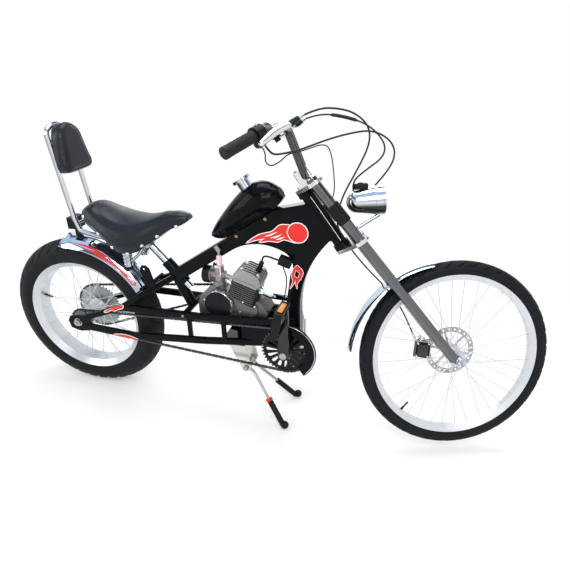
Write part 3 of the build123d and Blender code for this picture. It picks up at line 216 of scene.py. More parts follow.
def add_floor():
    # Pale, with the shadow near the bicycle, and white further off.
    mesh = bpy.data.meshes.new("floor")
    reach = 18
    corners = [(-reach, -reach, 0), (reach, -reach, 0), (reach, reach, 0), (-reach, reach, 0)]
    mesh.from_pydata(corners, [], [(0, 1, 2, 3)])
    floor = bpy.data.objects.new("floor", mesh)
    show(floor)
    material, nodes, links, shader = new_material("floor")
    shader.inputs["Base Color"].default_value = (0.9, 0.9, 0.9, 1)
    shader.inputs["Roughness"].default_value = 0.9
    shader.inputs["Specular IOR Level"].default_value = 0.1
    glow = nodes.new("ShaderNodeEmission")
    glow.inputs["Color"].default_value = (1, 1, 1, 1)
    coordinates = nodes.new("ShaderNodeTexCoord")
    distance = nodes.new("ShaderNodeVectorMath")
    distance.operation = "LENGTH"
    links.new(coordinates.outputs["Object"], distance.inputs[0])
    fade = nodes.new("ShaderNodeMapRange")
    fade.inputs["From Min"].default_value = 1.1
    fade.inputs["From Max"].default_value = 1.9
    fade.inputs["To Min"].default_value = 0.25
    fade.inputs["To Max"].default_value = 1.0
    links.new(distance.outputs["Value"], fade.inputs["Value"])
    share = nodes.new("ShaderNodeMath")
    share.operation = "MULTIPLY"
    links.new(background_rays(nodes, links), share.inputs[0])
    links.new(fade.outputs["Result"], share.inputs[1])
    mix = nodes.new("ShaderNodeMixShader")
    links.new(share.outputs[0], mix.inputs["Fac"])
    links.new(shader.outputs[0], mix.inputs[1])
    links.new(glow.outputs[0], mix.inputs[2])
    links.new(mix.outputs[0], nodes["Material Output"].inputs["Surface"])
    mesh.materials.append(material)


def add_lamp(name, at, target, size, power):
    data = bpy.data.lights.new(name, "AREA")
    data.shape = "RECTANGLE"
    data.size, data.size_y = size
    data.energy = power
    lamp_object = bpy.data.objects.new(name, data)
    show(lamp_object)
    aim = (Vector(target) - Vector(at)).to_track_quat("-Z", "Y")
    lamp_object.matrix_world = Matrix.Translation(at) @ aim.to_matrix().to_4x4()


add_camera()
add_world()
add_floor()
add_lamp("key", (1.2, -2.6, 3.2), (0, 0, 0.4), (2.6, 2.0), 85)
add_lamp("fill", (-2.8, -1.6, 2.0), (0, 0, 0.5), (2.0, 2.0), 34)
add_lamp("top", (0.0, 0.9, 3.4), (0, 0, 0.4), (3.0, 1.6), 60)
add_lamp("back", (-0.6, 3.2, 1.8), (0, 0, 0.5), (2.4, 1.6), 30)


# Materials


def finish_of(name, colour, metal, rough, grain=0.0, grain_scale=300, spread=0.06, shade=0.12,
              shine=0.5, painted_ground_reflection=None):
    # A surface whose tone and roughness wander a little, with a fine bump. With a painted ground reflection,
    # the colour also carries a painted reflection by the way it faces: what faces down is as dark as the
    # ground that plating shows out of doors, and what faces up shows a painted white horizon, grey band and
    # pale blue sky.
    material, nodes, links, shader = new_material(name)
    coordinates = nodes.new("ShaderNodeTexCoord")
    patch = nodes.new("ShaderNodeTexNoise")
    patch.inputs["Scale"].default_value = 14
    patch.inputs["Detail"].default_value = 5
    links.new(coordinates.outputs["Object"], patch.inputs["Vector"])
    tones = nodes.new("ShaderNodeValToRGB")
    low, high = tones.color_ramp.elements
    low.position, high.position = 0.3, 0.7
    low.color = (*[max(0, value * (1 - shade)) for value in colour], 1)
    high.color = (*[min(1, value * (1 + shade)) for value in colour], 1)
    links.new(patch.outputs["Fac"], tones.inputs["Fac"])
    links.new(tones.outputs["Color"], shader.inputs["Base Color"])
    # Painted reflection: the base colour is multiplied by a ramp on the way the surface faces, dark ground
    # below, then white, grey and pale blue sky above.
    if painted_ground_reflection:
        geometry = nodes.new("ShaderNodeNewGeometry")
        split = nodes.new("ShaderNodeSeparateXYZ")
        links.new(geometry.outputs["Normal"], split.inputs[0])
        rise = nodes.new("ShaderNodeMapRange")
        rise.inputs["From Min"].default_value = -1
        links.new(split.outputs["Z"], rise.inputs["Value"])
        painted_reflection_ramp = nodes.new("ShaderNodeValToRGB")
        painted_reflection_stops = painted_reflection_ramp.color_ramp.elements
        painted_reflection_stops[0].position, painted_reflection_stops[0].color = 0.0, (*painted_ground_reflection, 1)
        painted_reflection_stops[1].position, painted_reflection_stops[1].color = 1.0, (0.86, 0.94, 1.0, 1)
        for place, reflection_colour in ((0.42, painted_ground_reflection), (0.50, (0.50, 0.50, 0.50)), (0.57, (0.95, 0.96, 1.0)),
                                    (0.66, (0.50, 0.58, 0.70)), (0.82, (0.70, 0.82, 0.98))):
            band = painted_reflection_stops.new(place)
            band.color = (*reflection_colour, 1)
        links.new(rise.outputs["Result"], painted_reflection_ramp.inputs["Fac"])
        painted_reflection_tint = nodes.new("ShaderNodeMix")
        painted_reflection_tint.data_type = "RGBA"
        painted_reflection_tint.blend_type = "MULTIPLY"
        painted_reflection_tint.inputs["Factor"].default_value = 1
        links.new(tones.outputs["Color"], painted_reflection_tint.inputs["A"])
        links.new(painted_reflection_ramp.outputs["Color"], painted_reflection_tint.inputs["B"])
        links.new(painted_reflection_tint.outputs["Result"], shader.inputs["Base Color"])
    rough_range = nodes.new("ShaderNodeMapRange")
    rough_range.inputs["To Min"].default_value = max(0.02, rough - spread)
    rough_range.inputs["To Max"].default_value = min(1, rough + spread)
    links.new(patch.outputs["Fac"], rough_range.inputs["Value"])
    links.new(rough_range.outputs["Result"], shader.inputs["Roughness"])
    shader.inputs["Metallic"].default_value = metal
    shader.inputs["Specular IOR Level"].default_value = shine
    if grain:
        fine = nodes.new("ShaderNodeTexNoise")
        fine.inputs["Scale"].default_value = grain_scale
        fine.inputs["Detail"].default_value = 3
        links.new(coordinates.outputs["Object"], fine.inputs["Vector"])
        bump = nodes.new("ShaderNodeBump")
        bump.inputs["Strength"].default_value = grain
        bump.inputs["Distance"].default_value = 0.001
        links.new(fine.outputs["Fac"], bump.inputs["Height"])
        links.new(bump.outputs["Normal"], shader.inputs["Normal"])
    return material


# Tone of the ground in the chrome's painted reflection; chrome below carries that painted reflection of
# ground, horizon and sky.
PAINTED_GROUND_TONE = (0.05, 0.05, 0.05)
paint = finish_of("gloss_black", (0.003, 0.0036, 0.005), 0.0, 0.10, 0.02, 700, 0.03, 0.2,
                  0.09)
chrome = finish_of("chrome", (0.84, 0.85, 0.87), 1.0, 0.06, spread=0.02, shade=0.04, painted_ground_reflection=PAINTED_GROUND_TONE)
# Plain chrome for the fork legs, whose dark grey base colour is a painted reflection of the dark ground.
painted_dark_chrome = finish_of("chrome_painted_dark", (0.15, 0.15, 0.155), 1.0, 0.16, 0.05, 500, 0.05, 0.08)
bar_finish = finish_of("bar_finish", (0.085, 0.082, 0.08), 1.0, 0.26, 0.08, 500, 0.06, 0.1)
silver = finish_of("polished_alloy", (0.74, 0.74, 0.74), 1.0, 0.22, 0.06, 420, 0.06, 0.06)
steel = finish_of("steel", (0.42, 0.42, 0.42), 0.9, 0.34, 0.1, 420, 0.08, 0.15)
dark_steel = finish_of("oiled_steel", (0.07, 0.07, 0.07), 0.9, 0.36, 0.12, 400, 0.08, 0.25)
crank_steel = finish_of("crank_steel", (0.045, 0.046, 0.046), 0.9, 0.32, 0.12, 400, 0.08, 0.2)
alloy = finish_of("cast_alloy", (0.31, 0.31, 0.31), 0.75, 0.42, 0.35, 520, 0.08, 0.12)
dark_alloy = finish_of("dull_alloy", (0.12, 0.12, 0.12), 0.75, 0.42, 0.35, 520, 0.08, 0.12)
brass = finish_of("brass", (0.62, 0.42, 0.16), 1.0, 0.30, 0.1, 420, 0.06, 0.12)
rim_silver = finish_of("rim_silver", (0.62, 0.64, 0.67), 0.55, 0.30, 0.06, 500, 0.06, 0.05)
rubber = finish_of("rubber", (0.009, 0.010, 0.011), 0.0, 0.46, 0.3, 600, 0.08, 0.2, 0.22)
tyre_rubber = finish_of("tyre_rubber", (0.008, 0.009, 0.011), 0.0, 0.52, 0.4, 480, 0.08, 0.25,
                        0.12)
plastic = finish_of("black_plastic", (0.006, 0.006, 0.007), 0.0, 0.36, 0.18, 650, 0.06,
                    0.2, 0.16)
red = finish_of("flame_red", (0.72, 0.025, 0.015), 0.0, 0.30, 0.06, 240, 0.05, 0.05, 0.3)
white = finish_of("flame_white", (0.86, 0.86, 0.86), 0.0, 0.34, 0.06, 240, 0.05, 0.03, 0.3)
amber = finish_of("amber", (0.80, 0.28, 0.01), 0.0, 0.22, 0.4, 260, 0.05, 0.08)
pink = finish_of("filter_plastic", (0.86, 0.55, 0.60), 0.0, 0.24, 0.1, 260, 0.05, 0.08)
# Black leather; its slight blue cast is a painted sheen of the blue sky, put into the base colour.
leather = finish_of("leather", (0.006, 0.009, 0.014), 0.0, 0.34, 0.25, 420, 0.06, 0.2, 0.30)
zinc = finish_of("bright_zinc", (0.62, 0.62, 0.57), 0.85, 0.36, 0.12, 420, 0.08, 0.18)
plate_grey = finish_of("sprocket_plate", (0.34, 0.37, 0.36), 0.6, 0.42, 0.12, 420, 0.08, 0.1)
glass = finish_of("lamp_glass", (0.72, 0.75, 0.78), 0.3, 0.08, 0.1, 160, 0.03, 0.05)

node_finish = {
    "frame": paint, "fuel_tank": paint, "tank_cap": chrome, "fuel_tap": alloy, "engine_case": dark_alloy,
    "clutch_cover": plastic, "engine_cylinder": dark_alloy, "engine_head": alloy, "spark_plug": plastic,
    "carburettor": alloy, "exhaust": chrome, "ignition_box": plastic, "chain_guard": paint,
    "saddle_post": chrome, "backrest_posts": chrome, "rear_fender": chrome, "tail_reflector": plastic,
    "rear_axle": steel, "stand_bracket": zinc, "fork_clamps": silver, "fork_legs": painted_dark_chrome,
    "fork_sleeves": plastic, "front_axle": steel, "handlebar": bar_finish, "bar_stem": silver,
    "control_housings": plastic,
    "brake_levers": silver, "headlamp": chrome, "headlamp_lens": glass, "lamp_bracket": chrome,
    "front_fender": chrome, "brake_caliper": plastic, "front_wheel": rim_silver, "brake_disc": steel,
    "rear_wheel": rim_silver, "rear_sprockets": plate_grey, "chainring": plastic, "cranks": crank_steel,
    "right_pedal": plastic, "left_pedal": plastic, "stand_legs": steel, "stand_feet": plastic,
}
for node, material in node_finish.items():
    slots = frame["nodes"][node].data.materials
    slots.clear()
    slots.append(material)


# Mesh helpers
POINT_R = 0.02
COIL_STEPS = 14

def ring_faces(rings, sides):
    # End caps, then the bands between rings that have the same number of corners.
    last = (rings - 1) * sides
    faces = [tuple(range(sides)), tuple(range(last, last + sides))]
    for low in range(0, last, sides):
        high = low + sides
        for side in range(sides):
            following = (side + 1) % sides
            faces.append((low + side, low + following, high + following, high + side))
    return faces


def spokes(across, up, sides):
    for side in range(sides):
        angle = 2 * math.pi * side / sides
        yield across * math.cos(angle) + up * math.sin(angle)


class Form:
    # Corners and faces gathered from many small shapes into one mesh. Sizes are in millimetres.
    def __init__(self):
        self.corners = []
        self.faces = []

    def add(self, corners, faces):
        base = len(self.corners)
        self.corners.extend(tuple(corner) for corner in corners)
        self.faces.extend(tuple(base + index for index in face) for face in faces)

    def lathe(self, at, way, profile, sides=20):
        # A profile of (radius, distance along) turned about an axis.
        way = way.normalized()
        across = way.orthogonal().normalized()
        up = way.cross(across)
        corners = []
        for radius, along in profile:
            for spoke in spokes(across, up, sides):
                corners.append(at + (way * along + spoke * max(radius, POINT_R)) / 1000)
        self.add(corners, ring_faces(len(profile), sides))

    def bolt(self, at, way, size=6, height=6):
        self.lathe(at, way, [(1.4 * size, -1), (1.4 * size, 1.2)], 16)
        self.lathe(at, way, [(size, 1), (size, height - 1), (0.82 * size, height)], 6)
        stud = 0.55 * size
        self.lathe(at, way, [(stud, height - 1), (stud, height + 2), (0.4 * size, height + 3)], 10)

    def dome(self, at, way, radius, rise):
        profile = [(radius, -1)]
        for step in range(6):
            angle = math.pi / 2 * step / 5
            profile.append((radius * math.cos(angle), rise * math.sin(angle)))
        self.lathe(at, way, profile, 18)

    def block(self, at, ways, sizes, round_off=2):
        # A box with cut corners on all its edges along the third way.
        a, b, c = (way.normalized() for way in ways)
        half_a, half_b = sizes[0] / 2, sizes[1] / 2
        ring = [(half_a - round_off, half_b), (half_a, half_b - round_off)]
        ring += [(p, -q) for p, q in reversed(ring)]
        ring += [(-p, -q) for p, q in ring]
        corners = []
        inner = 0.5 - round_off / sizes[2]
        for depth, inset in ((-0.5, round_off), (-inner, 0), (inner, 0), (0.5, round_off)):
            for p, q in ring:
                shrink_a = (half_a - inset) / half_a
                shrink_b = (half_b - inset) / half_b
                corners.append(at + (a * p * shrink_a + b * q * shrink_b + c * depth * sizes[2]) / 1000)
        self.add(corners, ring_faces(4, len(ring)))

    def tube(self, points, radius, sides=10):
        # A round rod along points; radius is one number, or one for each point.
        radii = [radius] * len(points) if isinstance(radius, (int, float)) else radius
        across = (points[1] - points[0]).orthogonal().normalized()
        corners = []
        for index, point in enumerate(points):
            before, after = points[max(index - 1, 0)], points[min(index + 1, len(points) - 1)]
            way = (after - before).normalized()
            across = (across - way * across.dot(way)).normalized()
            up = way.cross(across)
            for spoke in spokes(across, up, sides):
                corners.append(point + spoke * radii[index] / 1000)
        self.add(corners, ring_faces(len(points), sides))

    def coil(self, start, end, radius, wire, turns):
        way = (end - start).normalized()
        across = way.orthogonal().normalized()
        up = way.cross(across)
        points = []
        for step in range(turns * COIL_STEPS + 1):
            angle = 2 * math.pi * step / COIL_STEPS
            spoke = across * math.cos(angle) + up * math.sin(angle)
            points.append(start + (end - start) * (step / (turns * COIL_STEPS)) + spoke * radius / 1000)
        self.tube(points, wire, 8)

    def decal(self, shape, place, step=None):
        # A flat outline laid on a surface that place(a, b) gives.
        points = list(shape)
        if step:
            low_a, high_a = min(p.x for p in shape), max(p.x for p in shape)
            low_b, high_b = min(p.y for p in shape), max(p.y for p in shape)
            for a in np.arange(low_a + step[0], high_a, step[0]):
                for b in np.arange(low_b + step[1], high_b, step[1]):
                    points.append(Vector((a, b)))
        corners, _, faces, *_ = delaunay_2d_cdt(points, [], [list(range(len(shape)))], 1, 1e-5)
        self.add([place(p.x, p.y) for p in corners], faces)

    def piece(self, name, material, body, angle=38, closed=True):
        mesh = bpy.data.meshes.new(name)
        mesh.from_pydata(self.corners, [], self.faces)
        if closed:
            shell = bmesh.new()
            shell.from_mesh(mesh)
            bmesh.ops.recalc_face_normals(shell, faces=shell.faces)
            shell.to_mesh(mesh)
            shell.free()
        mesh.shade_smooth()
        mesh.set_sharp_from_angle(angle=math.radians(angle))
        mesh.materials.append(material)
        piece = bpy.data.objects.new(name, mesh)
        show(piece)
        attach(piece, body)
        return piece


def smooth_outline(points, steps=6):
    # A closed outline through points (a, b, corner), round except at its corners.
    shape = []
    count = len(points)
    for index, (a, b, corner) in enumerate(points):
        before = Vector(points[index - 1][:2])
        here = Vector((a, b))
        there = Vector(points[(index + 1) % count][:2])
        beyond = Vector(points[(index + 2) % count][:2])
        leave = there - here if corner else (there - before) / 2
        reach = there - here if points[(index + 1) % count][2] else (beyond - here) / 2
        for step in range(steps):
            t = step / steps
            shape.append(here * (2 * t ** 3 - 3 * t ** 2 + 1) + leave * (t ** 3 - 2 * t ** 2 + t)
                         + there * (3 * t ** 2 - 2 * t ** 3) + reach * (t ** 3 - t ** 2))
    return shape


def grown(shape, by):
    # The outline moved outwards by that much.
    following = shape[1:] + shape[:1]
    area = sum(p.x * q.y - p.y * q.x for p, q in zip(shape, following))
    turn = 1 if area > 0 else -1
    result = []
    for before, here, after in zip(shape[-1:] + shape[:-1], shape, following):
        first, second = (here - before).normalized(), (after - here).normalized()
        outward = Vector((first.y + second.y, -first.x - second.x)) * turn
        if outward.length < 0.6:
            outward = first - second
        result.append(here + outward.normalized() * by)
    return result


def nurbs(name, points, radius, material):
    data = bpy.data.curves.new(name, "CURVE")
    data.dimensions = "3D"
    spline = data.splines.new("NURBS")
    spline.points.add(len(points) - 1)
    for control, at in zip(spline.points, points):
        control.co = (*at, 1)
    spline.order_u = 3
    spline.use_endpoint_u = True
    data.resolution_u = 10
    line = bpy.data.objects.new(name, data)
    followed = bpy.data.meshes.new_from_object(line)
    path = [corner.co.copy() for corner in followed.vertices]
    bpy.data.meshes.remove(followed)
    data.bevel_depth = radius / 1000
    data.bevel_resolution = 4
    data.use_fill_caps = True
    data.materials.append(material)
    show(line)
    return line, path


def run_length(path):
    return sum((after - before).length for before, after in zip(path, path[1:]))


# Tyres

def add_tyre(name, node, body, centre, axle, outer, rim, bead, pitches):
    # A round casing with a centre line and curved shoulder grooves cut into its tread.
    rho = ((outer - rim) ** 2 + bead ** 2) / (2 * (outer - rim))
    edge = math.pi - math.asin(bead / rho)
    tread = math.radians(66)
    half = np.concatenate([np.linspace(0, tread, 24), np.linspace(tread, edge, 15)[1:]])
    across = np.concatenate([-half[:0:-1], half])
    around = pitches * 22
    turn = np.arange(around) * 2 * np.pi / around
    lean, theta = np.meshgrid(across, turn)
    share = np.abs(lean) / tread
    phase = theta * pitches / (2 * np.pi) + np.where(lean > 0, 0.5, 0.0) + 0.75 * share ** 2
    nearness = np.abs(phase % 1 - 0.5)
    shoulder = np.clip((0.15 - nearness) / 0.05, 0, 1) * np.clip((share - 0.2) / 0.06, 0, 1)
    shoulder = shoulder * np.clip((1.0 - share) / 0.05, 0, 1)
    middle = np.clip((0.055 - np.abs(share - 0.13)) / 0.03, 0, 1)
    ring = np.exp(-((np.abs(lean) - 1.05 * tread) / 0.035) ** 2)
    ring = ring + np.exp(-((np.abs(lean) - 0.9 * edge) / 0.04) ** 2)
    reach = rho - 3.4 * np.maximum(shoulder, middle) - 0.9 * np.clip(ring, 0, 1)
    radius = (outer - rho + reach * np.cos(lean)) / 1000
    side = reach * np.sin(lean) / 1000
    forward = axle.orthogonal().normalized()
    upward = axle.cross(forward)
    spokes = np.cos(theta)[..., None] * np.array(forward) + np.sin(theta)[..., None] * np.array(upward)
    corners = np.array(centre) + side[..., None] * np.array(axle) + radius[..., None] * spokes
    count = len(across)
    form = Form()
    faces = []
    for ring_index in range(around):
        here, there = ring_index * count, (ring_index + 1) % around * count
        for step in range(count):
            following = (step + 1) % count
            faces.append((here + step, here + following, there + following, there + step))
    form.add(corners.reshape(-1, 3).tolist(), faces)
    tyre = form.piece(name, tyre_rubber, body, 60)
    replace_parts(tyre, node)


FRONT_HUB = (93, 0, -503.5)
add_tyre("front_tyre_tread", "front_tyre", "front_wheel", fork(*FRONT_HUB), fork_left, 304, 264, 20, 44)
add_tyre("rear_tyre_tread", "rear_tyre", "rear_wheel", rear_axle, LEFT, 282, 210, 42, 38)


# Chains and sprocket teeth
PITCH = 12.7
CHAIN_Y = 55
DRIVE_LEVEL = (505, 122)


def pitch_radius(teeth):
    return PITCH / (2 * math.sin(math.pi / teeth))


def add_chain(name, node, y, first_teeth, second, second_teeth):
    # Links round the rear axle's sprocket and a second one.
    first_r, second_r = pitch_radius(first_teeth), pitch_radius(second_teeth)
    reach = math.hypot(*second)
    heading = math.atan2(second[1], second[0])
    spread = math.acos((first_r - second_r) / reach)
    straight = reach * math.sin(spread)
    front_arc = 2 * spread * second_r
    rear_arc = (2 * math.pi - 2 * spread) * first_r
    whole = 2 * straight + front_arc + rear_arc

    def at(distance):
        upper, lower = heading + spread, heading - spread
        if distance < straight:
            start = Vector((math.cos(upper), math.sin(upper))) * first_r
            end = Vector(second) + Vector((math.cos(upper), math.sin(upper))) * second_r
            return start.lerp(end, distance / straight)
        distance -= straight
        if distance < front_arc:
            angle = upper - distance / second_r
            return Vector(second) + Vector((math.cos(angle), math.sin(angle))) * second_r
        distance -= front_arc
        if distance < straight:
            start = Vector(second) + Vector((math.cos(lower), math.sin(lower))) * second_r
            end = Vector((math.cos(lower), math.sin(lower))) * first_r
            return start.lerp(end, distance / straight)
        angle = lower - (distance - straight) / first_r
        return Vector((math.cos(angle), math.sin(angle))) * first_r

    count = 2 * round(whole / PITCH / 2)
    pins = [at(whole * index / count) for index in range(count)]
    form = Form()
    for index, pin in enumerate(pins):
        following = pins[(index + 1) % count]
        way = (following - pin).normalized()
        side = Vector((-way.y, way.x))
        shape = []
        for end, sign in ((pin, -1), (following, 1)):
            for step in range(-2, 3):
                angle = step * math.radians(52) * -sign
                shape.append(end + way * 4 * sign * math.cos(angle) + side * 4 * math.sin(angle) * -1)
        middle = (pin + following) / 2
        shape = shape[:5] + [middle - side * 2.7] + shape[5:] + [middle + side * 2.7]
        inner = 2.4 if index % 2 else 1.3
        for hand in (-1, 1):
            near, far = y + hand * inner, y + hand * (inner + 1.0)
            corners = [level(p.x, near, p.y) for p in shape] + [level(p.x, far, p.y) for p in shape]
            form.add(corners, ring_faces(2, len(shape)))
            form.lathe(level(pin.x, y + hand * 1.3, pin.y), LEFT * hand, [(1.9, 0), (1.9, 2.4)], 6)
    chain = form.piece(name, dark_steel, "chassis", 30)
    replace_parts(chain, node)


add_chain("engine_chain_links", "engine_chain", CHAIN_Y, 41, DRIVE_LEVEL, 10)
add_chain("pedal_chain_links", "pedal_chain", -CHAIN_Y, 18, CRANK_LEVEL, 40)


def add_teeth(name, centre, y, teeth, material, body):
    pitch_r = pitch_radius(teeth)
    root, crest = pitch_r - 4.2, pitch_r + 2.4
    profile = ((-0.5, root), (-0.3, root + 0.8), (-0.13, crest), (0.13, crest), (0.3, root + 0.8))
    form = Form()
    outer, inner = [], []
    for tooth in range(teeth):
        for share, radius in profile:
            angle = 2 * math.pi * (tooth + share) / teeth
            outer.append((centre[0] + radius * math.cos(angle), centre[1] + radius * math.sin(angle)))
            hidden = root - 4
            inner.append((centre[0] + hidden * math.cos(angle), centre[1] + hidden * math.sin(angle)))
    count = len(outer)
    corners = [level(x, y + face, z) for face in (-1.1, 1.1) for ring in (outer, inner) for x, z in ring]
    faces = []
    for step in range(count):
        following = (step + 1) % count
        for a, b in ((0, 1), (2, 3), (0, 2), (1, 3)):
            faces.append((a * count + step, a * count + following, b * count + following, b * count + step))
    form.add(corners, faces)
    form.piece(name, material, body, 25)


add_teeth("chainring_teeth", CRANK_LEVEL, -CHAIN_Y, 40, dark_steel, "crank")
add_teeth("cog_teeth", (0, 0), -CHAIN_Y, 18, dark_steel, "rear_wheel")
add_teeth("sprocket_teeth", (0, 0), CHAIN_Y, 41, plate_grey, "rear_wheel")
add_teeth("drive_teeth", DRIVE_LEVEL, CHAIN_Y, 10, dark_steel, "chassis")


# Cables, hoses and wires
GUIDE = (16, 32)
BRAKE_ROUTE = [(88, -200.7, 355.2), (137, -172, 348), (182, -138, 322), (222, -100, 284), (240, -66, 234),
               (222, -34, 192), (160, -4, 152), (84, 22, 112), (30, 31, 66), (*GUIDE, 24), (*GUIDE, -52),
               (24, 42, -128), (38, 46, -205), (42, 48, -280), (34, 46, -345), (22, 43, -400)]
CLUTCH_ROUTE = [(127.8, 178, 355.2), (172, 152, 342), (218, 110, 300), (262, 50, 236), (268, 6, 168),
                (238, -20, 138), (170, -20, 138), (126, -4, 132), (115.2, 0, 107.2)]
THROTTLE_ROUTE = [(-21, -247, 347.8), (-21, -247, 335), (-17, -236, 320), (6, -205, 308), (45, -165, 292),
                  (118, -120, 273), (183, -90, 250), (242, -60, 221), (274, -38, 171), (272, -18, 127),
                  (234, 4, 96), (177.5, 12, 82.5)]
WIRE_ROUTE = [(-29, -253, 347.8), (-30, -253, 334), (-44, -247, 318), (-38, -234, 301), (-11, -214, 298),
              (15, -202, 302), (46, -173, 287), (114, -128, 268), (111, -100, 232), (88, -84, 185),
              (66, -76, 148), (52.5, -69.3, 136)]
PLUG_LEAD = [(664, 0, 264), (667, -2, 280), (678, -14, 292), (696, -26, 297), (716, -32, 294),
             (735, -33, 290)]
COIL_WIRE = [(742, -33, 278), (745, -32, 262), (750, -26, 242), (749, -16, 215), (745, -13, 185),
             (739, -14, 155), (728, -20, 128), (706, -28, 112), (684, -34, 106)]
FUEL_HOSE = [(533.8, -30.3, 256), (534, -31, 240), (533, -29, 222), (528, -20, 206), (521, -9, 198)]


def add_cord(name, route, place, radius, material, body, node=None):
    points = [place(*point) for point in route]
    line, path = nurbs(name, points, radius, material)
    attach(line, body)
    if node:
        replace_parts(line, node)
    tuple(points[0])
    round(run_length(path), 3)
    return path


add_cord("brake_cable_line", BRAKE_ROUTE, fork, 2.5, rubber, "steering", "brake_cable")
clutch_path = add_cord("clutch_cable_line", CLUTCH_ROUTE, fork, 2.5, rubber, "steering",
                       "clutch_cable")
add_cord("throttle_cable_line", THROTTLE_ROUTE, fork, 2.5, rubber, "steering", "throttle_cable")
add_cord("switch_wire_line", WIRE_ROUTE, fork, 1.6, rubber, "steering", "switch_wire")
add_cord("plug_lead", PLUG_LEAD, level, 3, rubber, "chassis")
add_cord("coil_wire", COIL_WIRE, level, 2, rubber, "chassis")
add_cord("fuel_hose", FUEL_HOSE, level, 2.6, pink, "chassis")


# Saddle and backrest

def add_pad(name, node, shrink, cap):
    # A copy of the solid, drawn in a little and swollen again by cloth under pressure. The swelling
    # is kept as relief about its middle value, so the pad keeps its size.
    mesh = frame["nodes"][node].data.copy()
    mesh.name = name
    mesh.materials.clear()
    pad = bpy.data.objects.new(name, mesh)
    show(pad)
    shell = bmesh.new()
    shell.from_mesh(mesh)
    bmesh.ops.remove_doubles(shell, verts=shell.verts, dist=1e-5)
    shell.to_mesh(mesh)
    shell.free()
    bpy.ops.object.select_all(action="DESELECT")
    pad.select_set(True)
    bpy.context.view_layer.objects.active = pad
    remesh = pad.modifiers.new("even", "REMESH")
    remesh.mode = "VOXEL"
    remesh.voxel_size = 0.005
    bpy.ops.object.modifier_apply(modifier="even")
    count = len(pad.data.vertices)
    rest = np.zeros(count * 3)
    normals = np.zeros(count * 3)
    pad.data.vertices.foreach_get("co", rest)
    pad.data.vertices.foreach_get("normal", normals)
    full = rest.copy()
    pad.data.vertices.foreach_set("co", rest - normals * shrink / 1000)
    pad.data.update()
    cloth = pad.modifiers.new("swell", "CLOTH")
    cloth.settings.effector_weights.gravity = 0
    cloth.settings.use_pressure = True
    cloth.settings.uniform_pressure_force = 4
    scene = bpy.context.scene
    for step in range(1, 21):
        scene.frame_set(step)
    bpy.ops.object.modifier_apply(modifier="swell")
    scene.frame_set(1)
    swollen = np.zeros(count * 3)
    pad.data.vertices.foreach_get("co", swollen)
    outward = normals.reshape(-1, 3)
    rise = ((swollen - full).reshape(-1, 3) * outward).sum(axis=1)
    rise = np.clip(rise - np.median(rise), -cap / 1000, cap / 1000)
    pad.data.vertices.foreach_set("co", (full.reshape(-1, 3) + outward * rise[:, None]).ravel())
    pad.data.update()
    rounder = pad.modifiers.new("rounder", "SUBSURF")
    rounder.levels = 1
    rounder.render_levels = 1
    pad.data.shade_smooth()
    pad.data.materials.append(leather)
    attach(pad, "chassis")
    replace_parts(pad, node)
    return pad


def skin_of(pad):
    return BVHTree.FromPolygons([corner.co for corner in pad.data.vertices],
                                [list(face.vertices) for face in pad.data.polygons])


saddle = add_pad("saddle_cover", "saddle", 3, 1.6)
backrest = add_pad("backrest_cover", "backrest_pad", 3, 1.6)

# Chrome rivets along the saddle's lower edge, where the photograph shows them.
SADDLE_PX = (128, 222)
RIVET_PX = [(83, 217), (95, 235), (111, 249), (127.5, 254), (142, 246), (158, 237), (176, 227)]
skin = skin_of(saddle)
rivets = Form()
for px, py in RIVET_PX:
    for inward in range(12):
        share = 1 - 0.03 * inward
        aim = sight(SADDLE_PX[0] + (px - SADDLE_PX[0]) * share, SADDLE_PX[1] + (py - SADDLE_PX[1]) * share)
        spot, normal, _, _ = skin.ray_cast(level(*CAMERA_AT), aim)
        if spot and normal.y < -0.45:
            break
    if spot:
        for hand in (1, -1):
            at = Vector((spot.x, rear_axle.y + hand * (spot.y - rear_axle.y), spot.z))
            rivets.dome(at, Vector((normal.x, hand * normal.y, normal.z)), 6.5, 4)
rivets.piece("saddle_rivets", silver, "chassis", 50)

# Piping round the backrest's front edge, and the hoop that joins its posts behind it.
POST_TOP = (17, 636)
POST_LOW = (52, 376)
PAD_Z = 588
post_lean = math.atan2(POST_LOW[0] - POST_TOP[0], POST_TOP[1] - POST_LOW[1])
pad_x = POST_TOP[0] + (POST_TOP[1] - PAD_Z) * math.tan(post_lean)


def pad_place(y, up, out):
    x = pad_x + out * math.cos(post_lean) - up * math.sin(post_lean)
    return level(x, y, PAD_Z + out * math.sin(post_lean) + up * math.cos(post_lean))


PAD_EDGE = [(-44, -66, 0), (44, -66, 0), (57, -50, 0), (54, -20, 0), (46, 25, 0), (25, 55, 0), (0, 64, 0),
            (-25, 55, 0), (-46, 25, 0), (-54, -20, 0), (-57, -50, 0)]
edge = smooth_outline(PAD_EDGE, 5)
piping = Form()
pad_skin = skin_of(backrest)
ring = []
for point in edge:
    spot, normal, _, _ = pad_skin.find_nearest(pad_place(point.x, point.y, 44))
    ring.append(spot + normal * 0.0004)
piping.tube(ring + ring[:1], 1.5, 8)
piping.piece("backrest_piping", leather, "chassis", 60)
hoop = Form()
arch = []
for step in range(17):
    angle = math.pi * step / 16
    arch.append(pad_place(-50 * math.cos(angle), 46 + 24 * math.sin(angle), 0))
hoop.tube(arch, 8, 16)
hoop.piece("backrest_hoop", chrome, "chassis", 60)


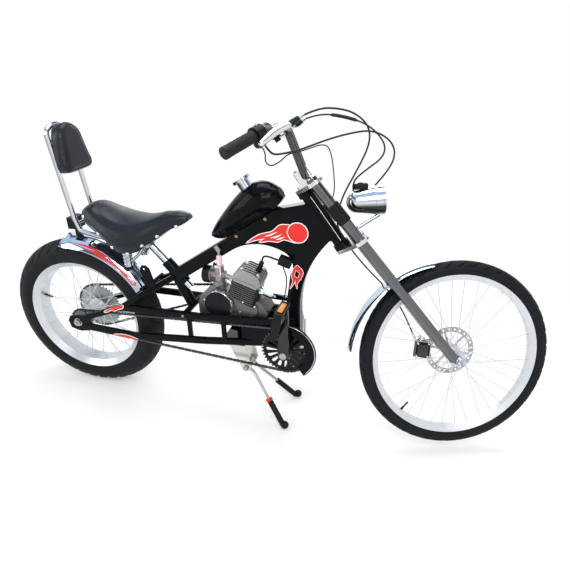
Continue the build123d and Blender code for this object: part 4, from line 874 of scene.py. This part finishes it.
# Flames on the beam, the down tube, the stays and the rear fender
DISC_AT = (28, -95)
DISC_R = 30
TAIL = [(20, -63, 1), (-6, -49, 0), (-40, -53, 0), (-84, -42, 0), (-134, -44, 1), (-104, -50, 0),
        (-72, -60, 1), (-96, -62, 1), (-64, -74, 0), (-44, -88, 0), (-22, -92, 0), (-8, -104, 0), (4, -117, 1)]
SLITS = [[(-22, -62, 1), (-46, -58, 0), (-74, -54, 1), (-48, -62, 0)],
         [(-14, -74, 1), (-34, -72, 0), (-58, -66, 1), (-38, -76, 0)],
         [(-12, -86, 1), (-28, -82, 0), (-46, -80, 1), (-30, -86, 0)]]
DOWN_LICK = [(786, 276, 1), (803, 256, 0), (797, 233, 0), (785, 214, 0), (784, 194, 1), (779, 216, 0),
             (780, 226, 1), (774, 212, 0), (760, 192, 1), (770, 219, 0), (767, 241, 0), (773, 262, 0)]
DOWN_HOLE = [(781, 258, 1), (791, 248, 0), (786, 234, 1), (777, 240, 0)]
FENDER_CROWN_R = 300
FENDER_HALF = 55
FENDER_ARC_R = 63.27
FENDER_LICK = [(35, 0.78, 0), (33.8, 0.88, 0), (36, 0.96, 0), (43, 0.955, 0), (50, 0.935, 0), (58, 0.945, 0),
               (72, 0.97, 1), (64, 0.905, 0), (62, 0.89, 1), (70, 0.89, 0), (80, 0.86, 1), (72, 0.83, 0),
               (69, 0.80, 1), (78, 0.79, 0), (92, 0.73, 1), (84, 0.735, 0), (76, 0.70, 0), (68, 0.715, 0),
               (61, 0.75, 0), (54, 0.82, 0), (46, 0.85, 0), (40, 0.775, 0)]


def circle(centre, radius, count=48):
    return [Vector((centre[0] + radius * math.cos(2 * math.pi * step / count),
                    centre[1] + radius * math.sin(2 * math.pi * step / count))) for step in range(count)]


def fender_place(hand, lift):
    def place(angle, share):
        y = share * FENDER_HALF
        radius = FENDER_CROWN_R - FENDER_ARC_R + math.sqrt(FENDER_ARC_R ** 2 - y ** 2) + lift
        return around((0, 0), radius, angle, hand * y)
    return place


STAY_LICK = [(117, 57, 0), (128, 67, 0), (153, 83, 0), (176, 91, 0), (192, 92, 0), (190, 82, 0),
             (172, 75, 0), (158, 66, 1), (146, 69, 0), (132, 61, 0)]
RAIL_LICK = [(137, -29, 1), (160, -25, 0), (190, -25, 0), (229, -35, 1), (210, -43, 0), (186, -42, 0),
             (164, -38, 0)]
STAY_Y = 83
bones = frame["nodes"]["frame"]
frame_skin = BVHTree.FromPolygons([bones.matrix_world @ corner.co for corner in bones.data.vertices],
                                  [list(face.vertices) for face in bones.data.polygons])


def on_frame(hand, lift):
    # The nearest place on the frame's tubes, lifted off them a little.
    def place(x, z):
        spot, normal, _, _ = frame_skin.find_nearest(level(x, hand * STAY_Y, z))
        return spot + normal * lift / 1000
    return place


reds, whites, blacks = Form(), Form(), Form()
tail, disc = smooth_outline(TAIL), circle(DISC_AT, DISC_R)
lick, hole = smooth_outline(DOWN_LICK), smooth_outline(DOWN_HOLE)
for hand in (-1, 1):
    def on_beam(lift, hand=hand):
        return lambda run, rise: beam(run, rise, hand * (BEAM_FACE_Y + lift))

    def on_tube(lift, hand=hand):
        return lambda x, z: level(x, hand * (BEAM_FACE_Y + lift), z)

    whites.decal(grown(tail, 2.6), on_beam(0.15))
    whites.decal(circle(DISC_AT, DISC_R + 3), on_beam(0.55))
    reds.decal(tail, on_beam(0.35))
    reds.decal(disc, on_beam(0.75))
    for slit in SLITS:
        whites.decal(smooth_outline(slit), on_beam(0.5))
    whites.decal(grown(lick, 1.6), on_tube(0.15))
    reds.decal(lick, on_tube(0.35))
    whites.decal(grown(hole, 1.2), on_tube(0.5))
    blacks.decal(hole, on_tube(0.65))
    for points in (STAY_LICK, RAIL_LICK):
        mark = smooth_outline(points)
        whites.decal(grown(mark, 2.5), on_frame(hand, 0.2), (3, 3))
        reds.decal(mark, on_frame(hand, 0.5), (3, 3))
    flame = smooth_outline(FENDER_LICK)
    reds.decal(flame, fender_place(hand, 0.5), (2, 0.03))
reds.piece("flames", red, "chassis", 60, False)
whites.piece("flame_edges", white, "chassis", 60, False)
blacks.piece("flame_gaps", paint, "chassis", 60, False)


# Grips, levers and controls
BAR_END = (-69, 336, 384)
BAR_BEND = (19, 243, 378)
LEVER = [(76, 205, 355), (62, 222, 358), (44, 242, 360), (24, 264, 358.5), (4, 285, 356)]
LEVER_THICK = 6.4
LEVER_TALL = [7.0, 8.5, 9.5, 9.0, 7.0]
grips, levers, controls, boots = Form(), Form(), Form(), Form()
for hand in (-1, 1):
    outer = bar(BAR_END[0], hand * BAR_END[1], BAR_END[2])
    inner = bar(BAR_BEND[0], hand * BAR_BEND[1], BAR_BEND[2])
    way = (inner - outer).normalized()
    profile = [(0, -5), (12, -5), (15, -3), (15, 7), (13.6, 8.5)]
    for rib in range(14):
        start = 9 + rib * 5.4
        profile += [(14.6, start + 0.8), (14.6, start + 3.8), (13.8, start + 4.6)]
    profile += [(15, 86), (15, 95), (11.3, 96)]
    grips.lathe(outer, way, profile, 28)
    middle = [bar(d, hand * w, s) for d, w, s in LEVER]
    rings = []
    for index, point in enumerate(middle):
        before, after = middle[max(index - 1, 0)], middle[min(index + 1, len(middle) - 1)]
        along = (after - before).normalized()
        flat = along.cross(fork_up).normalized()
        tall = flat.cross(along)
        for spoke in spokes(flat * LEVER_THICK, tall * LEVER_TALL[index], 16):
            rings.append(point + spoke / 1000)
    levers.add(rings, ring_faces(len(LEVER), 16))
    levers.dome(middle[-1], (middle[-1] - middle[-2]), 7.6, 5)
    housing = outer + way * 0.1096
    for turn in (-0.6, 0.6):
        face = (fork_up * math.cos(turn) + way.cross(fork_up) * math.sin(turn)).normalized()
        controls.bolt(housing + face * 0.0195, face, 2.6, 3)
    boot_start = bar(76, hand * 205, 355)
    boot_end = bar(108, hand * 190, 355)
    boot_way = boot_end - boot_start
    boots.lathe(boot_start, boot_way, [(7.2, 4), (8.2, 8), (7.4, 20), (6.6, 30), (4.6, 35)], 16)
    controls.lathe(boot_end, boot_way, [(4.2, -2), (4.2, 6), (3.2, 7), (3.2, 12)], 12)
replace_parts(grips.piece("grip_rubber", rubber, "steering", 30), "grips")
levers.piece("lever_blades", silver, "steering", 50)
controls.piece("control_screws", chrome, "steering")
boots.piece("lever_boots", rubber, "steering", 50)


def along_path(path, start, end):
    # The part of a cable's line between two shares of its length.
    first, last = int(start * len(path)), int(end * len(path))
    return path[first:last + 1]


sleeve = Form()
barrel = along_path(clutch_path, 0.16, 0.30)
sleeve.tube(barrel, [3] + [5.2] * (len(barrel) - 2) + [3], 12)
sleeve.piece("cable_barrel", rubber, "steering", 50)


# Headlamp trim, tail lens and reflectors
LAMP_R = 40
lamp_way = (lamp(0, 0, 1) - lamp(0, 0, 0)).normalized()
lamp_high = (lamp(0, 1, 0) - lamp(0, 0, 0)).normalized()
trim = Form()
lamp_rear = lamp(0, 0, 0)
seam = [(LAMP_R - 1, 81), (LAMP_R + 1, 82), (LAMP_R + 1, 85), (LAMP_R - 1, 86)]
bezel = [(LAMP_R - 2, 103), (LAMP_R + 1.4, 104), (LAMP_R + 1.4, 110), (LAMP_R - 2, 112)]
trim.lathe(lamp_rear, lamp_way, seam, 48)
trim.lathe(lamp_rear, lamp_way, bezel, 48)
trim.bolt(lamp(0, -LAMP_R - 1, 95), -lamp_high, 4, 5)
trim.piece("lamp_trim", chrome, "steering", 40)
switch = Form()
switch.block(lamp(0, 43, 44), (fork_left, lamp_high, lamp_way), (26, 17, 42), 3)
switch.lathe(lamp(0, 50, 44), lamp_high, [(8, 0), (8, 3), (6.5, 4)], 18)
switch.piece("lamp_switch", plastic, "steering", 40)
lens = Form()
lens.block(level(-1.5, 0, 346), (LEFT, level_way(0, 0, 1), level_way(1, 0, 0)), (42, 30, 5), 1.5)
lens.piece("tail_lens", red, "chassis", 30)
CRANK_LENGTH = 160
CRANK_REST = 87.3
PEDAL_Y = 138
PEDALS = {"right_pedal": (-1, 78, CRANK_REST), "left_pedal": (1, 38, CRANK_REST + 180)}
for body, (hand, tilt, direction) in PEDALS.items():
    along = level_way(math.cos(math.radians(tilt)), 0, math.sin(math.radians(tilt)))
    up = level_way(-math.sin(math.radians(tilt)), 0, math.cos(math.radians(tilt)))
    middle = around(CRANK_LEVEL, CRANK_LENGTH, direction, hand * PEDAL_Y)
    amber_form, grip_form = Form(), Form()
    for end in (-1, 1):
        amber_form.block(middle + along * end * 0.0465, (LEFT, up, along), (52, 15, 4), 1)
        for side in (-1, 1):
            at = middle + along * end * 0.034 + up * side * 0.0132
            for post in range(-2, 3):
                grip_form.lathe(at + LEFT * post * 0.016, up * side, [(3.4, -1), (3.4, 1), (2.2, 2.2)], 10)
    amber_form.piece(body + "_reflectors", amber, body, 30)
    grip_form.piece(body + "_studs", plastic, body)


# Engine fittings
fittings, brassy, dark_bits = Form(), Form(), Form()
cyl_up = cylinder(0, 0, 1) - cylinder(0, 0, 0)
cyl_way = cylinder(1, 0, 0) - cylinder(0, 0, 0)
for a in (-27, 27):
    for b in (-27, 27):
        fittings.lathe(cylinder(a, b, 92), cyl_up, [(7, 0), (7, 16), (5.5, 17)], 6)
        fittings.dome(cylinder(a, b, 109), cyl_up, 5.4, 5)
for b in (-13, 13):
    fittings.bolt(cylinder(52.5, b, 46), cyl_way, 4, 5)
    fittings.bolt(cylinder(-51.5, b, 46), -cyl_way, 4, 5)
fittings.lathe(cylinder(22, 0, 112.5), cyl_up, [(9.5, 0), (9.5, 6), (8.5, 7)], 6)
COVER_AT = (523, 119)
GENERATOR_AT = (622, 112)
for centre, radius, y, count in ((COVER_AT, 49, -44, 5), (GENERATOR_AT, 29, -43, 4)):
    for index in range(count):
        at = around(centre, radius, 360 * (index + 0.3) / count, y)
        fittings.lathe(at, -LEFT, [(3.4, -1), (3.4, 2), (2.6, 3)], 12)
cover_ring = [(47.6, 0), (47.6, 3), (46.4, 4.4), (45.4, 4.4), (45, 3)]
fittings.lathe(level(COVER_AT[0], -44, COVER_AT[1]), -LEFT, cover_ring, 56)
CARB_X = 515.7
fittings.lathe(level(CARB_X, 0, 236), level_way(0, 0, 1), [(18.5, 0), (18.5, 8), (16, 10)], 24)
dark_bits.lathe(level(CARB_X, 0, 246), level_way(0, 0, 1), [(6, 0), (6, 10), (4, 13)], 14)
air_filter = [(27.5, -23), (29, -20), (29, 0), (26, 3), (8, 4)]
dark_bits.lathe(level(CARB_X - 49, 0, 204), level_way(-1, 0, 0), air_filter, 28)
brassy.lathe(level(CARB_X, -20, 172), -LEFT, [(4.5, -2), (4.5, 6), (3.4, 7)], 6)
brassy.lathe(level(CARB_X + 8, -15, 212), -LEFT, [(3.4, -2), (3.4, 8), (2.4, 9)], 10)
brassy.lathe(level(CARB_X, 0, 161), level_way(0, 0, -1), [(7, -1), (7, 5), (5.5, 6)], 6)
for run in (-150, -36):
    for hand in (-1, 1):
        brassy.bolt(beam(run, -11, hand * BEAM_FACE_Y), LEFT * hand, 3.2, 4)
fittings.piece("engine_fittings", silver, "chassis")
brassy.piece("brass_fittings", brass, "chassis")
dark_bits.piece("carburettor_cap_and_filter", plastic, "chassis")
bowl = Form()
bulb = [(5, -4), (8.8, 0), (9.4, 8), (9.4, 24), (8.4, 31), (4, 35)]
bowl.lathe(level(533.8, -30.3, 284), level_way(0, 0, -1), bulb, 24)
bowl.piece("fuel_filter", pink, "chassis", 60)


# Nuts, caps and springs
nuts = Form()
for hand in (-1, 1):
    nuts.lathe(level(0, hand * 78, 0), LEFT * hand, [(15, 0), (15, 2)], 20)
    nuts.lathe(level(0, hand * 80, 0), LEFT * hand, [(12.4, 0), (12.4, 8), (10.5, 9)], 6)
    nuts.bolt(level(602, hand * 40, -124), LEFT * hand, 7, 7)
    nuts.bolt(level(410, hand * 78, 80), LEFT * hand, 5, 5)
nuts.piece("axle_nuts", steel, "chassis")
springs = Form()
for hand in (-1, 1):
    springs.coil(level(222, hand * 50, 230), level(222, hand * 50, 308), 13.5, 2.4, 7)
springs.piece("saddle_springs", chrome, "chassis", 60)
fork_nuts = Form()
for hand in (-1, 1):
    hub_d, _, hub_s = FRONT_HUB
    fork_nuts.lathe(fork(hub_d, hand * 64, hub_s), fork_left * hand, [(14, 0), (14, 2)], 20)
    fork_nuts.lathe(fork(hub_d, hand * 66, hub_s), fork_left * hand, [(12, 0), (12, 8), (10, 9)], 6)
    fork_nuts.dome(fork(leg_d(LEG_TOP_S), hand * LEG_Y, LEG_TOP_S), fork_up, 15, 5)
    for s in (197, -15):
        fork_nuts.bolt(fork(leg_d(s) + 20, hand * 70, s), fork_way(0.7, hand * 0.7, 0), 4, 5)
    for d in (-14, 14):
        fork_nuts.bolt(bar(22 + d, hand * 10, 246), fork_up, 3.6, 4)
fork_nuts.piece("fork_nuts", chrome, "steering")
# Front brake caliper: cover plate, bolts, adjuster and the actuating arm with its spring
CALIPER_AT = (21, 39, -445.5)
CALIPER_TURN = math.radians(40)
caliper_way = fork_way(math.cos(CALIPER_TURN), 0, -math.sin(CALIPER_TURN))
caliper_high = fork_way(math.sin(CALIPER_TURN), 0, math.cos(CALIPER_TURN))


def caliper(a, w, up):
    return fork(*CALIPER_AT) + (caliper_way * a + fork_left * w + caliper_high * up) / 1000


cover, bright = Form(), Form()
cover.block(caliper(0, -12, -2), (caliper_way, caliper_high, fork_left), (34, 40, 2), 0.6)
for a in (-18, 18):
    for up in (-22, 22):
        bright.lathe(caliper(a, -12, up), -fork_left, [(3.6, -1), (3.6, 0.8), (2.8, 1.2)], 14)
        bright.lathe(caliper(a, 12, up), fork_left, [(3.8, -1), (3.8, 2.5), (3, 3.2)], 6)
bright.lathe(caliper(0, 12, 0), fork_left, [(15, -1), (15, 3), (12, 5), (12, 7), (6, 8)], 28)
bright.block(caliper(-8, 17, 18), (caliper_way, caliper_high, fork_left), (12, 46, 3), 0.9)
bright.coil(caliper(10, 16, 10), caliper(6, 16, 34), 4, 0.9, 6)
bright.lathe(caliper(-8, 0, 27), caliper_high, [(5, -1), (5, 3), (3.6, 4)], 6)
bright.lathe(caliper(12, 4, 27), caliper_high, [(6.5, -1), (6.5, 5), (5, 6)], 16)
cable_end = fork(*BRAKE_ROUTE[-1])
cable_way = fork(*BRAKE_ROUTE[-2]) - cable_end
bright.lathe(cable_end, cable_way, [(5, -4), (5, 4), (4, 5), (4, 16), (3.2, 18)], 14)
cover.piece("caliper_cover", dark_steel, "steering", 30)
bright.piece("caliper_fittings", silver, "steering")

crank_caps = Form()
for hand in (-1, 1):
    at = level(CRANK_LEVEL[0], hand * 90, CRANK_LEVEL[1])
    crank_caps.lathe(at, LEFT * hand, [(12, -1), (12, 2), (9, 4), (4, 4)], 24)
    at = around(CRANK_LEVEL, CRANK_LENGTH, CRANK_REST if hand < 0 else CRANK_REST + 180, hand * 78)
    crank_caps.lathe(at, -LEFT * hand, [(9, -1), (9, 2), (6, 3)], 20)
crank_caps.piece("crank_caps", steel, "crank")
STAND_HIP = (626, 22, -150)
STAND_FOOT = (751.6, 90, -315.7)
collar = Form()
hip = level(STAND_HIP[0], -STAND_HIP[1], STAND_HIP[2])
foot = level(STAND_FOOT[0], -STAND_FOOT[1], STAND_FOOT[2])
leg_way = (foot - hip).normalized()
collar.lathe(foot - leg_way * 0.112, leg_way, [(10.2, -6), (12, -5), (12, 5), (10.2, 6)], 20)
collar.piece("stand_collar", red, "stand", 30)

# Edge line of the chain guard, and the pale line down the head tube
guard_line = Form()
points = []
for step in range(41):
    points.append(around(CRANK_LEVEL, 100, 104 - step * 3.75, -64.6))
guard_line.tube(points, 1.6, 6)
guard_line.piece("guard_line", silver, "chassis", 60)
stripe = Form()
rake = math.radians(36.2)
for hand in (-1, 1):
    points = []
    for s in (14, 60, 110, 168):
        out = level_way(math.cos(rake) * 0.55, hand * 0.83, math.sin(rake) * 0.55).normalized()
        points.append(head + fork_up * s / 1000 + out * 0.0201)
    stripe.tube(points, 0.9, 6)
stripe.piece("head_stripe", white, "chassis", 60)

# Valve stems
valves = Form()
spoke = Matrix.Rotation(math.radians(-165), 3, LEFT) @ level_way(1, 0, 0)
valves.lathe(rear_axle + spoke * 0.19, -spoke, [(4, -6), (4, 10), (3, 11), (3, 30), (2, 32)], 12)
valves.piece("rear_valve", rubber, "rear_wheel")
front_valve = Form()
spoke = (fork_forward * -0.97 - fork_up * 0.24).normalized()
front_valve.lathe(fork(*FRONT_HUB) + spoke * 0.247, -spoke, [(4, -4), (4, 10), (3, 11), (3, 32), (2, 34)], 12)
front_valve.piece("front_valve", rubber, "front_wheel")


bpy.context.scene.view_settings.view_transform = "Standard"
